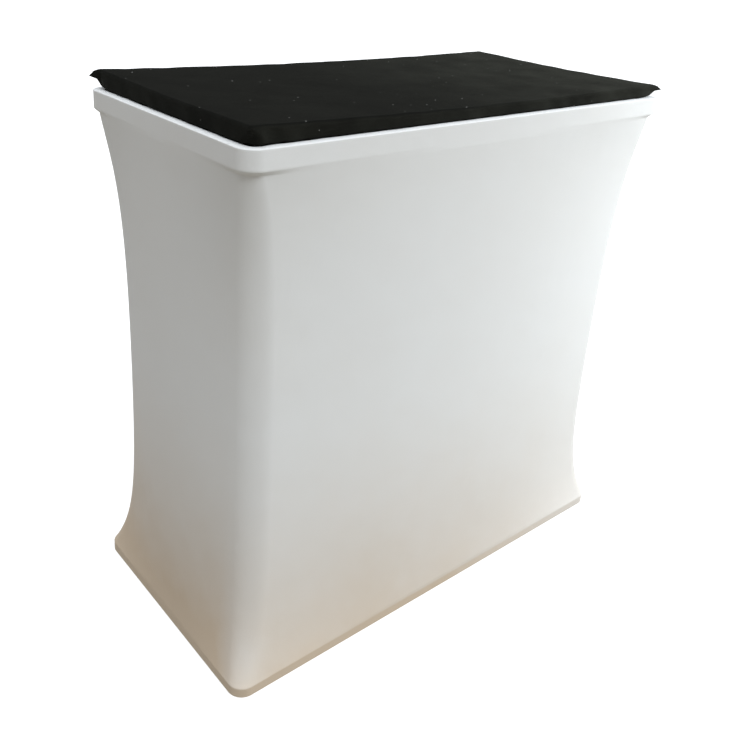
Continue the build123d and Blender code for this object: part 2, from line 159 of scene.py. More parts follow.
class Recipe:
    """Node builder for one procedural material."""

    def __init__(self, name: str) -> None:
        """Starts a material with one principled surface.

        Args:
            name: The material's name.
        """
        self.material = bpy.data.materials.new(name)
        self.material.use_nodes = True
        self.tree = self.material.node_tree
        self.tree.nodes.clear()
        self.surface = self.add("ShaderNodeBsdfPrincipled")
        output = self.add("ShaderNodeOutputMaterial")
        self.tree.links.new(self.surface.outputs["BSDF"], output.inputs["Surface"])

    def add(self, kind: str, settings: dict | None = None, feeds: dict | None = None) -> bpy.types.Node:
        """Adds a node.

        Args:
            kind: Type name of the node.
            settings: Values for the node's own properties.
            feeds: Values or sockets for its inputs, by the input's name or number.

        Returns:
            The new node.
        """
        node = self.tree.nodes.new(kind)
        for key, value in (settings or {}).items():
            setattr(node, key, value)
        for key, value in (feeds or {}).items():
            self.feed(node.inputs[key], value)
        return node

    def feed(self, entry: Socket, value: object) -> None:
        """Links a socket to an input, or sets the input's own value.

        Args:
            entry: The input.
            value: A socket, a number, or a colour or vector.
        """
        if isinstance(value, Socket):
            self.tree.links.new(value, entry)
        elif hasattr(value, "__len__") and entry.type == "RGBA":
            entry.default_value = (*value, 1.0) if len(value) == 3 else value
        else:
            entry.default_value = value

    def dress(self, **feeds: object) -> Material:
        """Feeds the principled surface.

        Args:
            **feeds: Values or sockets, by the input's name with underscores for spaces.

        Returns:
            The finished material.
        """
        names = {entry.name.lower(): entry for entry in self.surface.inputs}
        for key, value in feeds.items():
            self.feed(names[key.replace("_", " ")], value)
        return self.material

    def chart(self, kind: Chart, stretch: Sequence[float] = (1, 1, 1)) -> Socket:
        """Coordinates in metres, stretched along each axis.

        Args:
            kind: Which coordinates.
            stretch: Factor along each axis.

        Returns:
            The vector socket.
        """
        source = self.add("ShaderNodeTexCoord").outputs[kind.value]
        if tuple(stretch) == (1, 1, 1):
            return source
        mapping = self.add("ShaderNodeMapping", feeds={"Vector": source, "Scale": tuple(stretch)})
        return mapping.outputs["Vector"]

    def noise(self, chart: Socket, grain: float, detail: float = 3.0) -> Socket:
        """Cloudy noise."""
        feeds = {"Vector": chart, "Scale": 1 / grain, "Detail": detail, "Roughness": 0.55}
        return self.add("ShaderNodeTexNoise", feeds=feeds).outputs["Fac"]

    def stripes(self, chart: Socket, across: Across, period: float, waver: float = 0.0) -> Socket:
        """Rounded stripes counted along an axis, at this distance, which noise may bend."""
        feeds = {"Vector": chart, "Scale": tau / (WAVE_TURNS * period), "Distortion": waver}
        return self.add("ShaderNodeTexWave", {"bands_direction": across.value}, feeds).outputs["Fac"]

    def remap(self, value: Socket, start: float, end: float, low: object = 0.0,
              high: object = 1.0) -> Socket:
        """Turns one range of a value into another, held at its ends."""
        feeds = {"Value": value, "From Min": start, "From Max": end, "To Min": low, "To Max": high}
        return self.add("ShaderNodeMapRange", feeds=feeds).outputs["Result"]

    def combine(self, operation: str, *values: object) -> Socket:
        """Result of an operation on numbers or sockets."""
        return self.add("ShaderNodeMath", {"operation": operation}, dict(enumerate(values))).outputs[0]

    def product(self, first: object, *others: object) -> Socket:
        """Product of two or more values.

        Args:
            first: A value or socket.
            *others: The same, multiplied in one after another.

        Returns:
            The product.
        """
        for other in others:
            first = self.combine("MULTIPLY", first, other)
        return first

    def split(self, vector: Socket) -> list[Socket]:
        """The three parts of a vector."""
        return list(self.add("ShaderNodeSeparateXYZ", feeds={0: vector}).outputs)

    def join(self, across: Socket, up: Socket) -> Socket:
        """Vector of two parts, with 0 for the third."""
        return self.add("ShaderNodeCombineXYZ", feeds={0: across, 1: up}).outputs[0]

    def tint(self, share: Socket, first: Sequence[float],
             second: Sequence[float] | Socket) -> Socket:
        """Colour between two others.

        Args:
            share: How much of the second there is, from 0 to 1.
            first: A colour or socket.
            second: A colour or socket.

        Returns:
            The colour socket.
        """
        node = self.add("ShaderNodeMix", {"data_type": "RGBA"})
        colours = [entry for entry in node.inputs if entry.type == "RGBA"]
        self.feed(node.inputs[0], share)
        self.feed(colours[0], first)
        self.feed(colours[1], second)
        return next(result for result in node.outputs if result.type == "RGBA")

    def bump(self, height: Socket, depth: float, under: Socket | None = None) -> Socket:
        """Relief of this depth from a height of 0 to 1, on top of a coarser one."""
        feeds = {"Height": height, "Distance": depth} | ({} if under is None else {"Normal": under})
        return self.add("ShaderNodeBump", feeds=feeds).outputs["Normal"]


@dataclass(frozen=True)
class KnitFinish:
    """Fine stretch knit: upright wales of small V loops.

    Attributes:
        name: Material name.
        colour: Clean colour.
        shade: Colour in the loops' gaps.
        floor_shade: Darker warm colour painted near the floor as shade, warmed as by light off a wooden
            floor.
        floor_shade_height: How high the painted floor shade reaches.
        floor_shade_height: How high the soiling reaches.
        left_shade: How much stronger the painted shade is on the left end, which faces away from the light,
            than on the middle of the front.
        right_shade: How much of the painted shade there is at the right end, where more light falls.
        corner_shade: How much of the painted shade there is on the near corner, where more light falls.
        lit_corner: Where that corner is.
        lit_reach: Distances from it between which the painted shade comes back.
        band_shade: How much stronger the painted shade is on the band round the base board, which turns away
            from the light.
        band_edge: Heights between which the band ends.
        left_place: Places along X between which the left end's painted shade fades.
        right_place: Places along X between which it thins towards the right end.
        right_place: Places along X between which it thins towards the right end.
        floor_shade_fade: Power by which the painted floor shade fades with height.
        ragged: How unevenly it ends.
        cloud: Size of the uneven places.
        slack: Depth of the cloth's slack.
        wale: Width of one wale.
        course: Height of one loop.
        relief: Depth of the loops.
    """

    name: str
    colour: Triple
    shade: Triple
    floor_shade: Triple
    floor_shade_height: float = 0.55
    left_shade: float = 1.45
    right_shade: float = 0.35
    corner_shade: float = 0.55
    lit_corner: Triple = (-0.478, -0.230, 0.0)
    lit_reach: Pair = (0.01, 0.07)
    band_shade: float = 1.5
    band_edge: Pair = (0.017, 0.022)
    left_place: Pair = (-0.48, -0.40)
    right_place: Pair = (-0.2, 0.45)
    floor_shade_fade: float = 1.7
    ragged: float = 0.06
    cloud: float = 0.16
    slack: float = 0.0012
    wale: float = 0.0009
    course: float = 0.0007
    relief: float = 0.00006

    def material(self) -> Material:
        """Makes the material.

        Returns:
            The material, laid out along the cloth.
        """
        recipe = Recipe(self.name)
        cloth = recipe.chart(Chart.CLOTH)
        place = recipe.chart(Chart.OBJECT)
        across, up, _ = recipe.split(cloth)
        lean = recipe.combine("PINGPONG", across, self.wale / 2)
        looped = recipe.join(across, recipe.combine("ADD", up, lean))
        wales = recipe.stripes(cloth, Across.X, self.wale)
        loops = recipe.stripes(looped, Across.Y, self.course)
        knit = recipe.product(wales, recipe.remap(loops, 0, 1, 0.35, 1))
        clouds = recipe.noise(place, self.cloud, 2)
        yarn = recipe.tint(recipe.remap(knit, 0, 0.7), self.shade, self.colour)
        # Painted shade: a darker warm colour near the floor, warmed as by light off a wooden floor.
        shaded = recipe.product(self.painted_floor_shade(recipe, place), recipe.remap(clouds, 0, 1, 0.7, 1))
        tinted = recipe.tint(shaded, yarn, self.floor_shade)
        tone = recipe.tint(recipe.remap(clouds, 0.35, 0.7, 0, 0.035), tinted, self.floor_shade)
        slack = recipe.bump(recipe.noise(place, 0.07, 1), self.slack)
        relief = recipe.bump(knit, self.relief, slack)
        return recipe.dress(
            base_color=tone,
            roughness=recipe.remap(knit, 0, 1, 0.86, 0.74),
            normal=relief,
            sheen_weight=0.12,
            sheen_roughness=0.5,
            specular_ior_level=0.25,
        )

    def painted_floor_shade(self, recipe: Recipe, place: Socket) -> Socket:
        """How strong the painted floor shade is, from the floor up and round the skirt.

        Args:
            recipe: The material's nodes.
            place: Places in space.

        Returns:
            The strength.
        """
        across, deep, level = recipe.split(place)
        ragged = recipe.combine("MULTIPLY_ADD", recipe.noise(place, 0.05), self.ragged, -self.ragged / 2)
        # Painted floor shade, fading with height, with a ragged upper edge.
        low = recipe.remap(recipe.combine("ADD", level, ragged), 0, self.floor_shade_height, 1, 0)
        # Painted shade: stronger on the left end, away from the light, and thinner towards the lit right end.
        leftward = recipe.remap(across, *self.left_place, self.left_shade, 1)
        rightward = recipe.remap(across, *self.right_place, 1, self.right_shade)
        # Painted light: the near corner, where more light falls, gets less of the painted shade.
        ends = {0: recipe.join(across, deep), 1: self.lit_corner}
        apart = recipe.add("ShaderNodeVectorMath", {"operation": "DISTANCE"}, ends).outputs["Value"]
        return recipe.product(
            recipe.combine("POWER", low, self.floor_shade_fade),
            recipe.product(leftward, rightward),
            # Painted shade: more of it on the base band, which turns away from the light.
            recipe.remap(level, *self.band_edge, self.band_shade, 1),
            recipe.remap(apart, *self.lit_reach, self.corner_shade, 1),
        )


@dataclass(frozen=True)
class LoopNylonFinish:
    """Dark brushed loop nylon with a soft nap, a few white specks of lint, and painted light on its top and
    sides.

    Attributes:
        name: Material name.
        colour: Colour of the nap.
        shade: Colour down between the loops.
        lint: Colour of the lint.
        right_highlight: How much lighter the top is painted at its right end than at its left end, a painted
            highlight.
        side_highlight: How much lighter the sides are painted at the right end, a painted highlight.
        front_painted_light: How much lighter the front is painted than the top, as painted light by which way
            a face looks.
        end_painted_light: How much lighter the other sides are painted than the top, likewise.
        nap: Size of one tuft.
        relief: Depth of the nap.
        lint_spacing: Spacing in space of the spots that show where they meet the surface.
        lint_size: Radius of a speck.
        lint_fray: How ragged a speck's edge is, as a share of the spacing.
        highlight_place: Places along X between which the painted highlight on the top grows.
        side_highlight_place: Places along X between which the sides get the painted highlight.
        lift: How much lighter handled places are.
        slack: Depth of the cloth's slack.
    """

    name: str
    colour: Triple
    shade: Triple
    lint: Triple
    right_highlight: float = 5.2
    side_highlight: float = 1.6
    front_painted_light: float = 3.2
    end_painted_light: float = 1.95
    nap: float = 0.0011
    relief: float = 0.0003
    lint_spacing: float = 0.027
    lint_size: float = 0.0011
    lint_fray: float = 0.012
    highlight_place: Pair = (-0.12, 0.5)
    side_highlight_place: Pair = (0.2, 0.5)
    lift: float = 1.9
    slack: float = 0.0009

    def material(self) -> Material:
        """Makes the material.

        Returns:
            The material, laid out in space.
        """
        recipe = Recipe(self.name)
        place = recipe.chart(Chart.OBJECT)
        tufts = recipe.noise(place, self.nap, 4)
        brushed = recipe.noise(recipe.chart(Chart.OBJECT, (0.12, 1, 1)), self.nap * 3, 2)
        clouds = recipe.noise(place, 0.09, 3)
        nap = recipe.tint(recipe.remap(tufts, 0.3, 0.7), self.shade, self.colour)
        lighter = tuple(self.lift * part for part in self.colour)
        handled = recipe.tint(recipe.remap(clouds, 0.35, 0.75, 0, 0.6), nap, lighter)
        streaked = recipe.tint(recipe.remap(brushed, 0.55, 0.8, 0, 0.3), handled, lighter)
        across = recipe.split(place)[0]
        _, forward, upward = recipe.split(recipe.add("ShaderNodeTexCoord").outputs["Normal"])
        # Painted highlight: the top is painted lighter towards its right end.
        top_highlight = recipe.remap(across, *self.highlight_place, 1, self.right_highlight)
        # Painted light by facing: the sides are painted lighter than the top, most on the front, and lighter
        # still at the right end.
        on_side = recipe.remap(forward, -0.8, -0.2, self.front_painted_light, self.end_painted_light)
        on_side = recipe.product(on_side, recipe.remap(across, *self.side_highlight_place, 1, self.side_highlight))
        painted_light = {0: streaked, "Scale": recipe.remap(upward, 0.3, 0.9, on_side, top_highlight)}
        streaked = recipe.add("ShaderNodeVectorMath", {"operation": "SCALE"}, painted_light).outputs[0]
        cells = recipe.add("ShaderNodeTexVoronoi", feeds={"Vector": place, "Scale": 1 / self.lint_spacing})
        frayed = recipe.remap(tufts, 0, 1, -self.lint_fray, self.lint_fray)
        bent = recipe.combine("ADD", cells.outputs["Distance"], frayed)
        reach = self.lint_size / self.lint_spacing
        fleck = recipe.remap(bent, reach * 0.6, reach * 1.3, 1, 0)
        own = recipe.add("ShaderNodeSeparateColor", feeds={0: cells.outputs["Color"]}).outputs[0]
        fleck = recipe.product(fleck, recipe.remap(own, 0.1, 0.8, 0.25, 1))
        colour = recipe.tint(fleck, streaked, self.lint)
        slack = recipe.bump(recipe.noise(place, 0.045, 2), self.slack)
        relief = recipe.bump(tufts, self.relief, slack)
        return recipe.dress(
            base_color=colour,
            roughness=recipe.remap(tufts, 0, 1, 0.98, 0.84),
            normal=relief,
            sheen_weight=0.035,
            sheen_roughness=0.4,
            sheen_tint=(0.62, 0.66, 0.56),
            specular_ior_level=0.05,
        )


@dataclass(frozen=True)
class WovenFinish:
    """Narrow woven tape or elastic with ribs across it and a finer thread texture.

    Attributes:
        name: Material name.
        colour: Colour on the ribs.
        shade: Colour between them.
        along: The axis that the ribs are counted along.
        rib: Distance from rib to rib.
        relief: Depth of the ribs.
    """

    name: str
    colour: Triple
    shade: Triple
    along: Across
    rib: float = 0.0009
    relief: float = 0.00015

    def material(self) -> Material:
        """Makes the material.

        Returns:
            The material.
        """
        recipe = Recipe(self.name)
        place = recipe.chart(Chart.OBJECT)
        ribs = recipe.stripes(place, self.along, self.rib, 0.4)
        threads = recipe.noise(place, self.rib * 0.6, 3)
        weave = recipe.product(ribs, recipe.remap(threads, 0.2, 0.8, 0.6, 1))
        colour = recipe.tint(recipe.remap(weave, 0, 0.8), self.shade, self.colour)
        dusty = tuple(0.5 * part + 0.12 for part in self.colour)
        tinted = recipe.tint(recipe.remap(recipe.noise(place, 0.03), 0.5, 0.8, 0, 0.25), colour, dusty)
        return recipe.dress(
            base_color=tinted,
            roughness=recipe.remap(threads, 0, 1, 0.9, 0.72),
            normal=recipe.bump(weave, self.relief),
            sheen_weight=0.1,
        )


@dataclass(frozen=True)
class BoardFinish:
    """Fibreboard or a faced board: fine flecks, faint roller marks and rubbed places.

    Attributes:
        name: Material name.
        colour: Main colour.
        fleck: Colour of the fibres or flecks.
        rub: Colour where it is rubbed.
        roughness: Roughness where it is smooth.
        fibre: Size of a fibre.
        relief: Depth of the surface.
    """

    name: str
    colour: Triple
    fleck: Triple
    rub: Triple
    roughness: float = 0.55
    fibre: float = 0.0016
    relief: float = 0.00012

    def material(self) -> Material:
        """Makes the material.

        Returns:
            The material.
        """
        recipe = Recipe(self.name)
        place = recipe.chart(Chart.OBJECT)
        fibres = recipe.noise(recipe.chart(Chart.OBJECT, (0.45, 1, 1)), self.fibre, 5)
        rolled = recipe.noise(recipe.chart(Chart.OBJECT, (0.06, 1, 1)), 0.02, 2)
        rubbed = recipe.noise(place, 0.11, 4)
        ground = recipe.tint(recipe.remap(fibres, 0.42, 0.68), self.colour, self.fleck)
        streaked = recipe.tint(recipe.remap(rolled, 0.45, 0.75, 0, 0.22), ground, self.fleck)
        colour = recipe.tint(recipe.remap(rubbed, 0.55, 0.75, 0, 0.4), streaked, self.rub)
        return recipe.dress(
            base_color=colour,
            roughness=recipe.remap(rubbed, 0.3, 0.8, self.roughness, self.roughness + 0.2),
            normal=recipe.bump(fibres, self.relief),
        )


@dataclass(frozen=True)
class MetalFinish:
    """Drawn or plated metal with fine lines along it, smudges and dulled places.

    Attributes:
        name: Material name.
        colour: Colour of the bright metal.
        dull: Colour where it has dulled.
        lines: Stretch of the drawing lines along X, Y and Z, where a small number is along them.
        roughness: Roughness where it is bright.
    """

    name: str
    colour: Triple
    dull: Triple
    lines: Triple = (1.0, 1.0, 0.02)
    roughness: float = 0.3

    def material(self) -> Material:
        """Makes the material.

        Returns:
            The material.
        """
        recipe = Recipe(self.name)
        drawn = recipe.noise(recipe.chart(Chart.OBJECT, self.lines), 0.0007, 3)
        smudges = recipe.noise(recipe.chart(Chart.OBJECT), 0.03, 4)
        bright = recipe.tint(recipe.remap(drawn, 0.3, 0.7, 0, 0.35), self.colour, self.dull)
        colour = recipe.tint(recipe.remap(smudges, 0.5, 0.75, 0, 0.5), bright, self.dull)
        return recipe.dress(
            base_color=colour,
            metallic=1.0,
            roughness=recipe.remap(smudges, 0.3, 0.7, self.roughness, self.roughness + 0.22),
            normal=recipe.bump(drawn, 0.00003),
        )


@dataclass(frozen=True)
class MouldedFinish:
    """Moulded plastic or rubber with a fine spark texture and handling marks.

    Attributes:
        name: Material name.
        colour: Main colour.
        bloom: Colour where it is scuffed or dusty.
        roughness: Roughness where it is clean.
        grain: Size of the texture.
        relief: Depth of the texture.
    """

    name: str
    colour: Triple
    bloom: Triple
    roughness: float = 0.5
    grain: float = 0.0006
    relief: float = 0.00005

    def material(self) -> Material:
        """Makes the material.

        Returns:
            The material.
        """
        recipe = Recipe(self.name)
        place = recipe.chart(Chart.OBJECT)
        grain = recipe.noise(place, self.grain, 2)
        scuffs = recipe.noise(place, 0.02, 5)
        colour = recipe.tint(recipe.remap(scuffs, 0.52, 0.78, 0, 0.55), self.colour, self.bloom)
        return recipe.dress(
            base_color=colour,
            roughness=recipe.remap(scuffs, 0.4, 0.8, self.roughness, self.roughness + 0.25),
            normal=recipe.bump(grain, self.relief),
        )


@dataclass(frozen=True)
class Band:
    """One level loop: four round corners, joined by faces that may bulge past them.

    Attributes:
        level: Height above the floor.
        half_x: Half width at the corners.
        half_y: Half depth at the corners.
        radius: Corner radius.
        side: How far the two ends bulge.
        front: How far the front bulges.
        back: How far the back bulges.
    """

    level: float
    half_x: float
    half_y: float
    radius: float
    side: float = 0.0
    front: float = 0.0
    back: float = 0.0

    def shrunk(self, level: float, inset: float, radius: float) -> "Band":
        """Straight-sided loop at another level, taken in from this one."""
        return Band(level, self.half_x - inset, self.half_y - inset, radius)


Rings = list[tuple[Band, float, float]]


@dataclass(frozen=True)
class Columns:
    """How a loop is divided: the same columns run through every band of a piece.

    Attributes:
        long_shares: Places along half of a long face, from its middle, 0, to its end, 1.
        short_shares: Places along half of a short face, likewise.
        corner_steps: Steps in each round corner.
        gap: Half width of the two columns in the middle of the back that a slot takes out.
    """

    long_shares: tuple[float, ...]
    short_shares: tuple[float, ...]
    corner_steps: int
    gap: float = 0.0

    @staticmethod
    def both_ways(shares: Sequence[float]) -> Array:
        """Places along a whole face, from -1 up to but without 1."""
        half = np.asarray(shares)
        return np.concatenate([-half[::-1], half[1:-1]])

    def faces(self, band: Band) -> tuple[Array, ...]:
        """Lean of the faces where they meet the corners, and the corners' centre.

        Args:
            band: The loop.

        Returns:
            Centre of the front right corner, and the leans of the ends, front and back.
        """
        centre = np.array([band.half_x - band.radius, band.half_y - band.radius])
        shares = band.side / centre[1], band.front / centre[0], band.back / centre[0]
        return centre, np.array([2 * atan(share) for share in shares])

    def trace(self, band: Band) -> Array:
        """Points of a loop, anticlockwise from the left end of the front.

        Args:
            band: The loop.

        Returns:
            The points, three numbers each.
        """
        centre, (side_lean, front_lean, back_lean) = self.faces(band)
        long_way = self.both_ways(self.long_shares)
        short_way = self.both_ways(self.short_shares)
        bend = partial(self.corner, centre, band.radius)
        end = self.face(centre[::-1], band, side_lean, band.side, short_way)
        back = self.face(centre, band, back_lean, band.back, long_way)
        if self.gap:
            first = self.long_shares[1]
            further = np.maximum(np.abs(long_way) - first, 0) / (1 - first)
            reach = centre[0] + band.radius * sin(back_lean)
            back[:, 0] = np.sign(long_way) * (self.gap + further * (reach - self.gap))
            back[:, 1] = self.depth(centre, band, back_lean, band.back, back[:, 0])
        parts = [
            self.face(centre, band, front_lean, band.front, long_way),
            bend((1, -1), radians(-90) + front_lean, -side_lean),
            np.column_stack([-end[:, 1], end[:, 0]]),
            bend((1, 1), side_lean, radians(90) - back_lean),
            -back,
            bend((-1, 1), radians(90) + back_lean, radians(180) - side_lean),
            np.column_stack([end[:, 1], -end[:, 0]]),
            bend((-1, -1), radians(180) + side_lean, radians(270) - front_lean),
        ]
        flat = np.concatenate(parts)
        return np.column_stack([flat, np.full(len(flat), band.level)])

    @staticmethod
    def depth(centre: Array, band: Band, lean: float, bulge: float, along: Array) -> Array:
        """How far out a bulging front face lies.

        Args:
            centre: Centre of its corner.
            band: The loop.
            lean: The face's lean at the corner.
            bulge: How far the face bulges.
            along: Places along it.

        Returns:
            The negative Y of each place.
        """
        reach = centre[0] + band.radius * sin(lean)
        end = centre[1] + band.radius * cos(lean)
        crest = centre[1] + band.radius + bulge
        return -(end + (crest - end) * (1 - (along / reach) ** 2))

    def face(self, centre: Array, band: Band, lean: float, bulge: float,
             shares: Array) -> Array:
        """Points along a front face."""
        along = shares * (centre[0] + band.radius * sin(lean))
        return np.column_stack([along, self.depth(centre, band, lean, bulge, along)])

    def corner(self, centre: Array, radius: float, signs: tuple[int, int], start: float,
               end: float) -> Array:
        """Points round the corner of these signs, between two angles, without the last."""
        turn = np.linspace(start, end, self.corner_steps, endpoint=False)
        return centre * np.array(signs) + radius * np.column_stack([np.cos(turn), np.sin(turn)])

    @property
    def back_middle(self) -> int:
        """Number of the column in the middle of the back."""
        long_face = 2 * (len(self.long_shares) - 1)
        short_face = 2 * (len(self.short_shares) - 1)
        return long_face + 2 * self.corner_steps + short_face + len(self.long_shares) - 1


def graded(length: float, first: float, growth: float, longest: float) -> tuple[float, ...]:
    """Shares of a length whose steps grow from its end towards its start.

    Args:
        length: The whole length.
        first: Step at the end.
        growth: Factor from one step to the next.
        longest: Longest step.

    Returns:
        Shares from 0 to 1.
    """
    places = [0.0]
    step = first
    while places[-1] + step < length - step / 2:
        places.append(places[-1] + step)
        step = min(step * growth, longest)
    places.append(length)
    return tuple(1 - place / length for place in reversed(places))


def quarter(steps: int) -> Array:
    """Angles of a quarter turn, from 0 to 90 degrees, without its ends."""
    return np.linspace(0, pi / 2, steps + 1)[1:-1]


def outward(loops: Array) -> Array:
    """Level directions that point away from the middle of anticlockwise loops.

    Args:
        loops: Loops of points.

    Returns:
        One unit direction for each point.
    """
    ahead = np.roll(loops, -1, axis=1) - np.roll(loops, 1, axis=1)
    away = np.stack([ahead[..., 1], -ahead[..., 0], np.zeros(ahead.shape[:2])], axis=-1)
    return away / np.maximum(np.linalg.norm(away, axis=-1, keepdims=True), 1e-9)


def shares_round(loop: Array) -> Array:
    """How far round a closed loop each of its points is, from 0 to 1."""
    steps = np.linalg.norm(np.roll(loop, -1, axis=0) - loop, axis=1)
    return (np.cumsum(steps) - steps) / steps.sum()


def every_share(loops: Array) -> Array:
    """How far round its own loop each point is, by row and column."""
    return np.stack([shares_round(loop) for loop in loops])


def cloudy(loops: Array, size: float | Triple) -> Array:
    """Smooth unevenness in space."""
    places = loops.reshape(-1, 3) / np.array(size)
    return np.array([noise.noise(Vector(place)) for place in places]).reshape(loops.shape[:2])


def copies(faces: list[tuple[int, ...]], size: int, count: int) -> list[tuple[int, ...]]:
    """Faces of many meshes in one, from those of the first."""
    return [tuple(number * size + corner for corner in face) for number in range(count) for face in faces]


def place_object(name: str, data: bpy.types.ID) -> Piece:
    """Puts a new object with this data into the scene.

    Args:
        name: The object's name.
        data: Its mesh, light or camera.

    Returns:
        The object.
    """
    piece = bpy.data.objects.new(name, data)
    bpy.context.scene.collection.objects.link(piece)
    return piece


def eased(value: Array, start: float, end: float) -> Array:
    """Smooth step from 0 at start to 1 at end."""
    share = np.clip((value - start) / (end - start), 0, 1)
    return share * share * (3 - 2 * share)


def add_mesh(name: str, points: Array, faces: list, material: Material,
             chart: Array | None = None, sharp: float = 42.0) -> Piece:
    """Makes a smooth mesh object.

    Args:
        name: The object's name.
        points: Its corners.
        faces: Corner numbers of each face.
        material: Its material.
        chart: Cloth coordinates of every face corner.
        sharp: Edges that turn by more degrees than this stay crisp.

    Returns:
        The object.
    """
    mesh = bpy.data.meshes.new(name)
    mesh.from_pydata(points.tolist(), [], faces)
    if chart is not None:
        mesh.uv_layers.new(name="cloth").uv.foreach_set("vector", chart.ravel())
    mesh.shade_smooth()
    mesh.set_sharp_from_angle(angle=radians(sharp))
    mesh.materials.append(material)
    return place_object(name, mesh)


def loft(name: str, loops: Array, material: Material, gone: Array | None = None,
         close: bool = False, anchor: int = 0) -> Piece:
    """Skin through closed loops, with cloth coordinates in metres.

    Args:
        name: The object's name.
        loops: Loops of points.
        material: Its material.
        gone: True for each face, by row and column, that is left out.
        close: Whether the last loop joins the first.
        anchor: Column that the cloth's threads run straight down.

    Returns:
        The object.
    """
    rows, columns = loops.shape[:2]
    numbers = np.arange(rows * columns).reshape(rows, columns)
    if close:
        numbers = np.vstack([numbers, numbers[:1]])
    beside = np.roll(numbers, -1, axis=1)
    faces = np.stack([numbers[:-1], numbers[1:], beside[1:], beside[:-1]], axis=-1)
    lengths = np.linalg.norm(np.roll(loops, -1, axis=1) - loops, axis=2).sum(axis=1)
    shares = np.stack([np.append(shares_round(loop), 1.0) for loop in (*loops, *loops[:close])])
    across = (shares - shares[:, [anchor]]) * lengths.max()
    steps = np.linalg.norm(np.diff(loops, axis=0, append=loops[:1]), axis=2).mean(axis=1)
    along = np.append(0, np.cumsum(steps))[: len(numbers), None] + 0 * across
    grid = np.stack([across, -along], axis=-1)
    chart = np.stack([grid[:-1, :-1], grid[1:, :-1], grid[1:, 1:], grid[:-1, 1:]], axis=2)
    kept = np.ones(faces.shape[:2], bool) if gone is None else ~gone
    return add_mesh(name, loops.reshape(-1, 3), faces[kept].tolist(), material, chart[kept])


def thicken(piece: Piece, amount: float) -> None:
    """Gives a skin its thickness, inwards, and closes its edges.

    Args:
        piece: The skin.
        amount: Thickness.
    """
    shell = piece.modifiers.new("thickness", "SOLIDIFY")
    shell.thickness = amount
    shell.offset = -1
    solid = bpy.data.meshes.new_from_object(piece.evaluated_get(bpy.context.evaluated_depsgraph_get()))
    piece.modifiers.clear()
    skin = piece.data
    piece.data = solid
    bpy.data.meshes.remove(skin)


def weld(piece: Piece, half_x: float, half_y: float, distance: float) -> None:
    """Joins points that lie close together within a middle field.

    Args:
        piece: The piece.
        half_x: Half width of the field.
        half_y: Half depth of the field.
        distance: Points that are closer than this become one.
    """
    web = bmesh.new()
    web.from_mesh(piece.data)
    inner = [point for point in web.verts if abs(point.co.x) < half_x and abs(point.co.y) < half_y]
    bmesh.ops.remove_doubles(web, verts=inner, dist=distance)
    web.to_mesh(piece.data)
    web.free()


def sew(name: str, starts: Array, ends: Array, thread: float,
        material: Material) -> Piece:
    """Rows of stitches, each a short thread that dips into the cloth at both ends.

    Args:
        name: The object's name.
        starts: Where each stitch starts.
        ends: Where it ends.
        thread: Thread radius.
        material: The thread's material.

    Returns:
        The object.
    """
    sides = 6
    girths = ((0.12, 0.55), (0.5, 1.0), (0.88, 0.55))
    run = ends - starts
    ahead = run / np.linalg.norm(run, axis=1, keepdims=True)
    helper = np.where(np.abs(ahead[:, 2:]) > 0.9, [[1.0, 0, 0]], [[0, 0, 1.0]])
    across = np.cross(ahead, helper)
    across /= np.linalg.norm(across, axis=1, keepdims=True)
    up = np.cross(across, ahead)
    rings = []
    for share, girth in girths:
        for turn in np.arange(sides) * tau / sides:
            spoke = across * cos(turn) + up * sin(turn)
            rings.append(starts + run * share + spoke * thread * girth)
    points = np.stack([starts, *rings, ends], axis=1)
    last = len(girths) * sides + 1
    faces = []
    for side in range(sides):
        near, far = 1 + side, 1 + (side + 1) % sides
        faces.append((0, far, near))
        for ring in range(len(girths) - 1):
            low, high = ring * sides, (ring + 1) * sides
            faces.append((near + low, far + low, far + high, near + high))
        low = (len(girths) - 1) * sides
        faces.append((near + low, far + low, last))
    every = copies(faces, points.shape[1], len(points))
    return add_mesh(name, points.reshape(-1, 3), every, material, sharp=180)


def seam(path: Array, pitch: float, length: float) -> tuple[Array, Array]:
    """Even stitches along a path.

    Args:
        path: Points along it.
        pitch: From the start of one stitch to the next.
        length: Length of a stitch.

    Returns:
        Where the stitches start and where they end.
    """
    steps = np.linalg.norm(np.diff(path, axis=0), axis=1)
    places = np.append(0, np.cumsum(steps))
    begins = np.arange(pitch / 2, places[-1] - length, pitch)
    ends = begins + length
    starts = np.column_stack([np.interp(begins, places, path[:, axis]) for axis in range(3)])
    stops = np.column_stack([np.interp(ends, places, path[:, axis]) for axis in range(3)])
    return starts, stops


def repaint(nodes: Iterable[str], material: Material) -> None:
    """Gives CAD nodes a better material in the slots that they have.

    Args:
        nodes: Names of the nodes.
        material: The material.
    """
    for name in nodes:
        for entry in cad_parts[name].material_slots:
            entry.material = material
        log.info("%s repainted with %s", name, material.name)


def settle(piece: Piece, body: Body, slot: str, *nodes: str) -> Piece:
    """Puts a finished piece on its body, in the place of CAD nodes.

    Args:
        piece: The piece.
        body: The body that it rides on.
        slot: Name of the record's material slot; not used.
        *nodes: The CAD nodes that it stands for.

    Returns:
        The piece.
    """
    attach(piece, body.value)
    if nodes:
        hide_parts(*nodes)
    log.info("%s built with %d faces", piece.name, len(piece.data.polygons))
    return piece


# The knit's third colour is the darker warm colour of its painted floor shade.
WHITE_KNIT = KnitFinish("white_stretch_knit", (0.86, 0.865, 0.87), (0.62, 0.63, 0.64), (0.57, 0.465, 0.355))
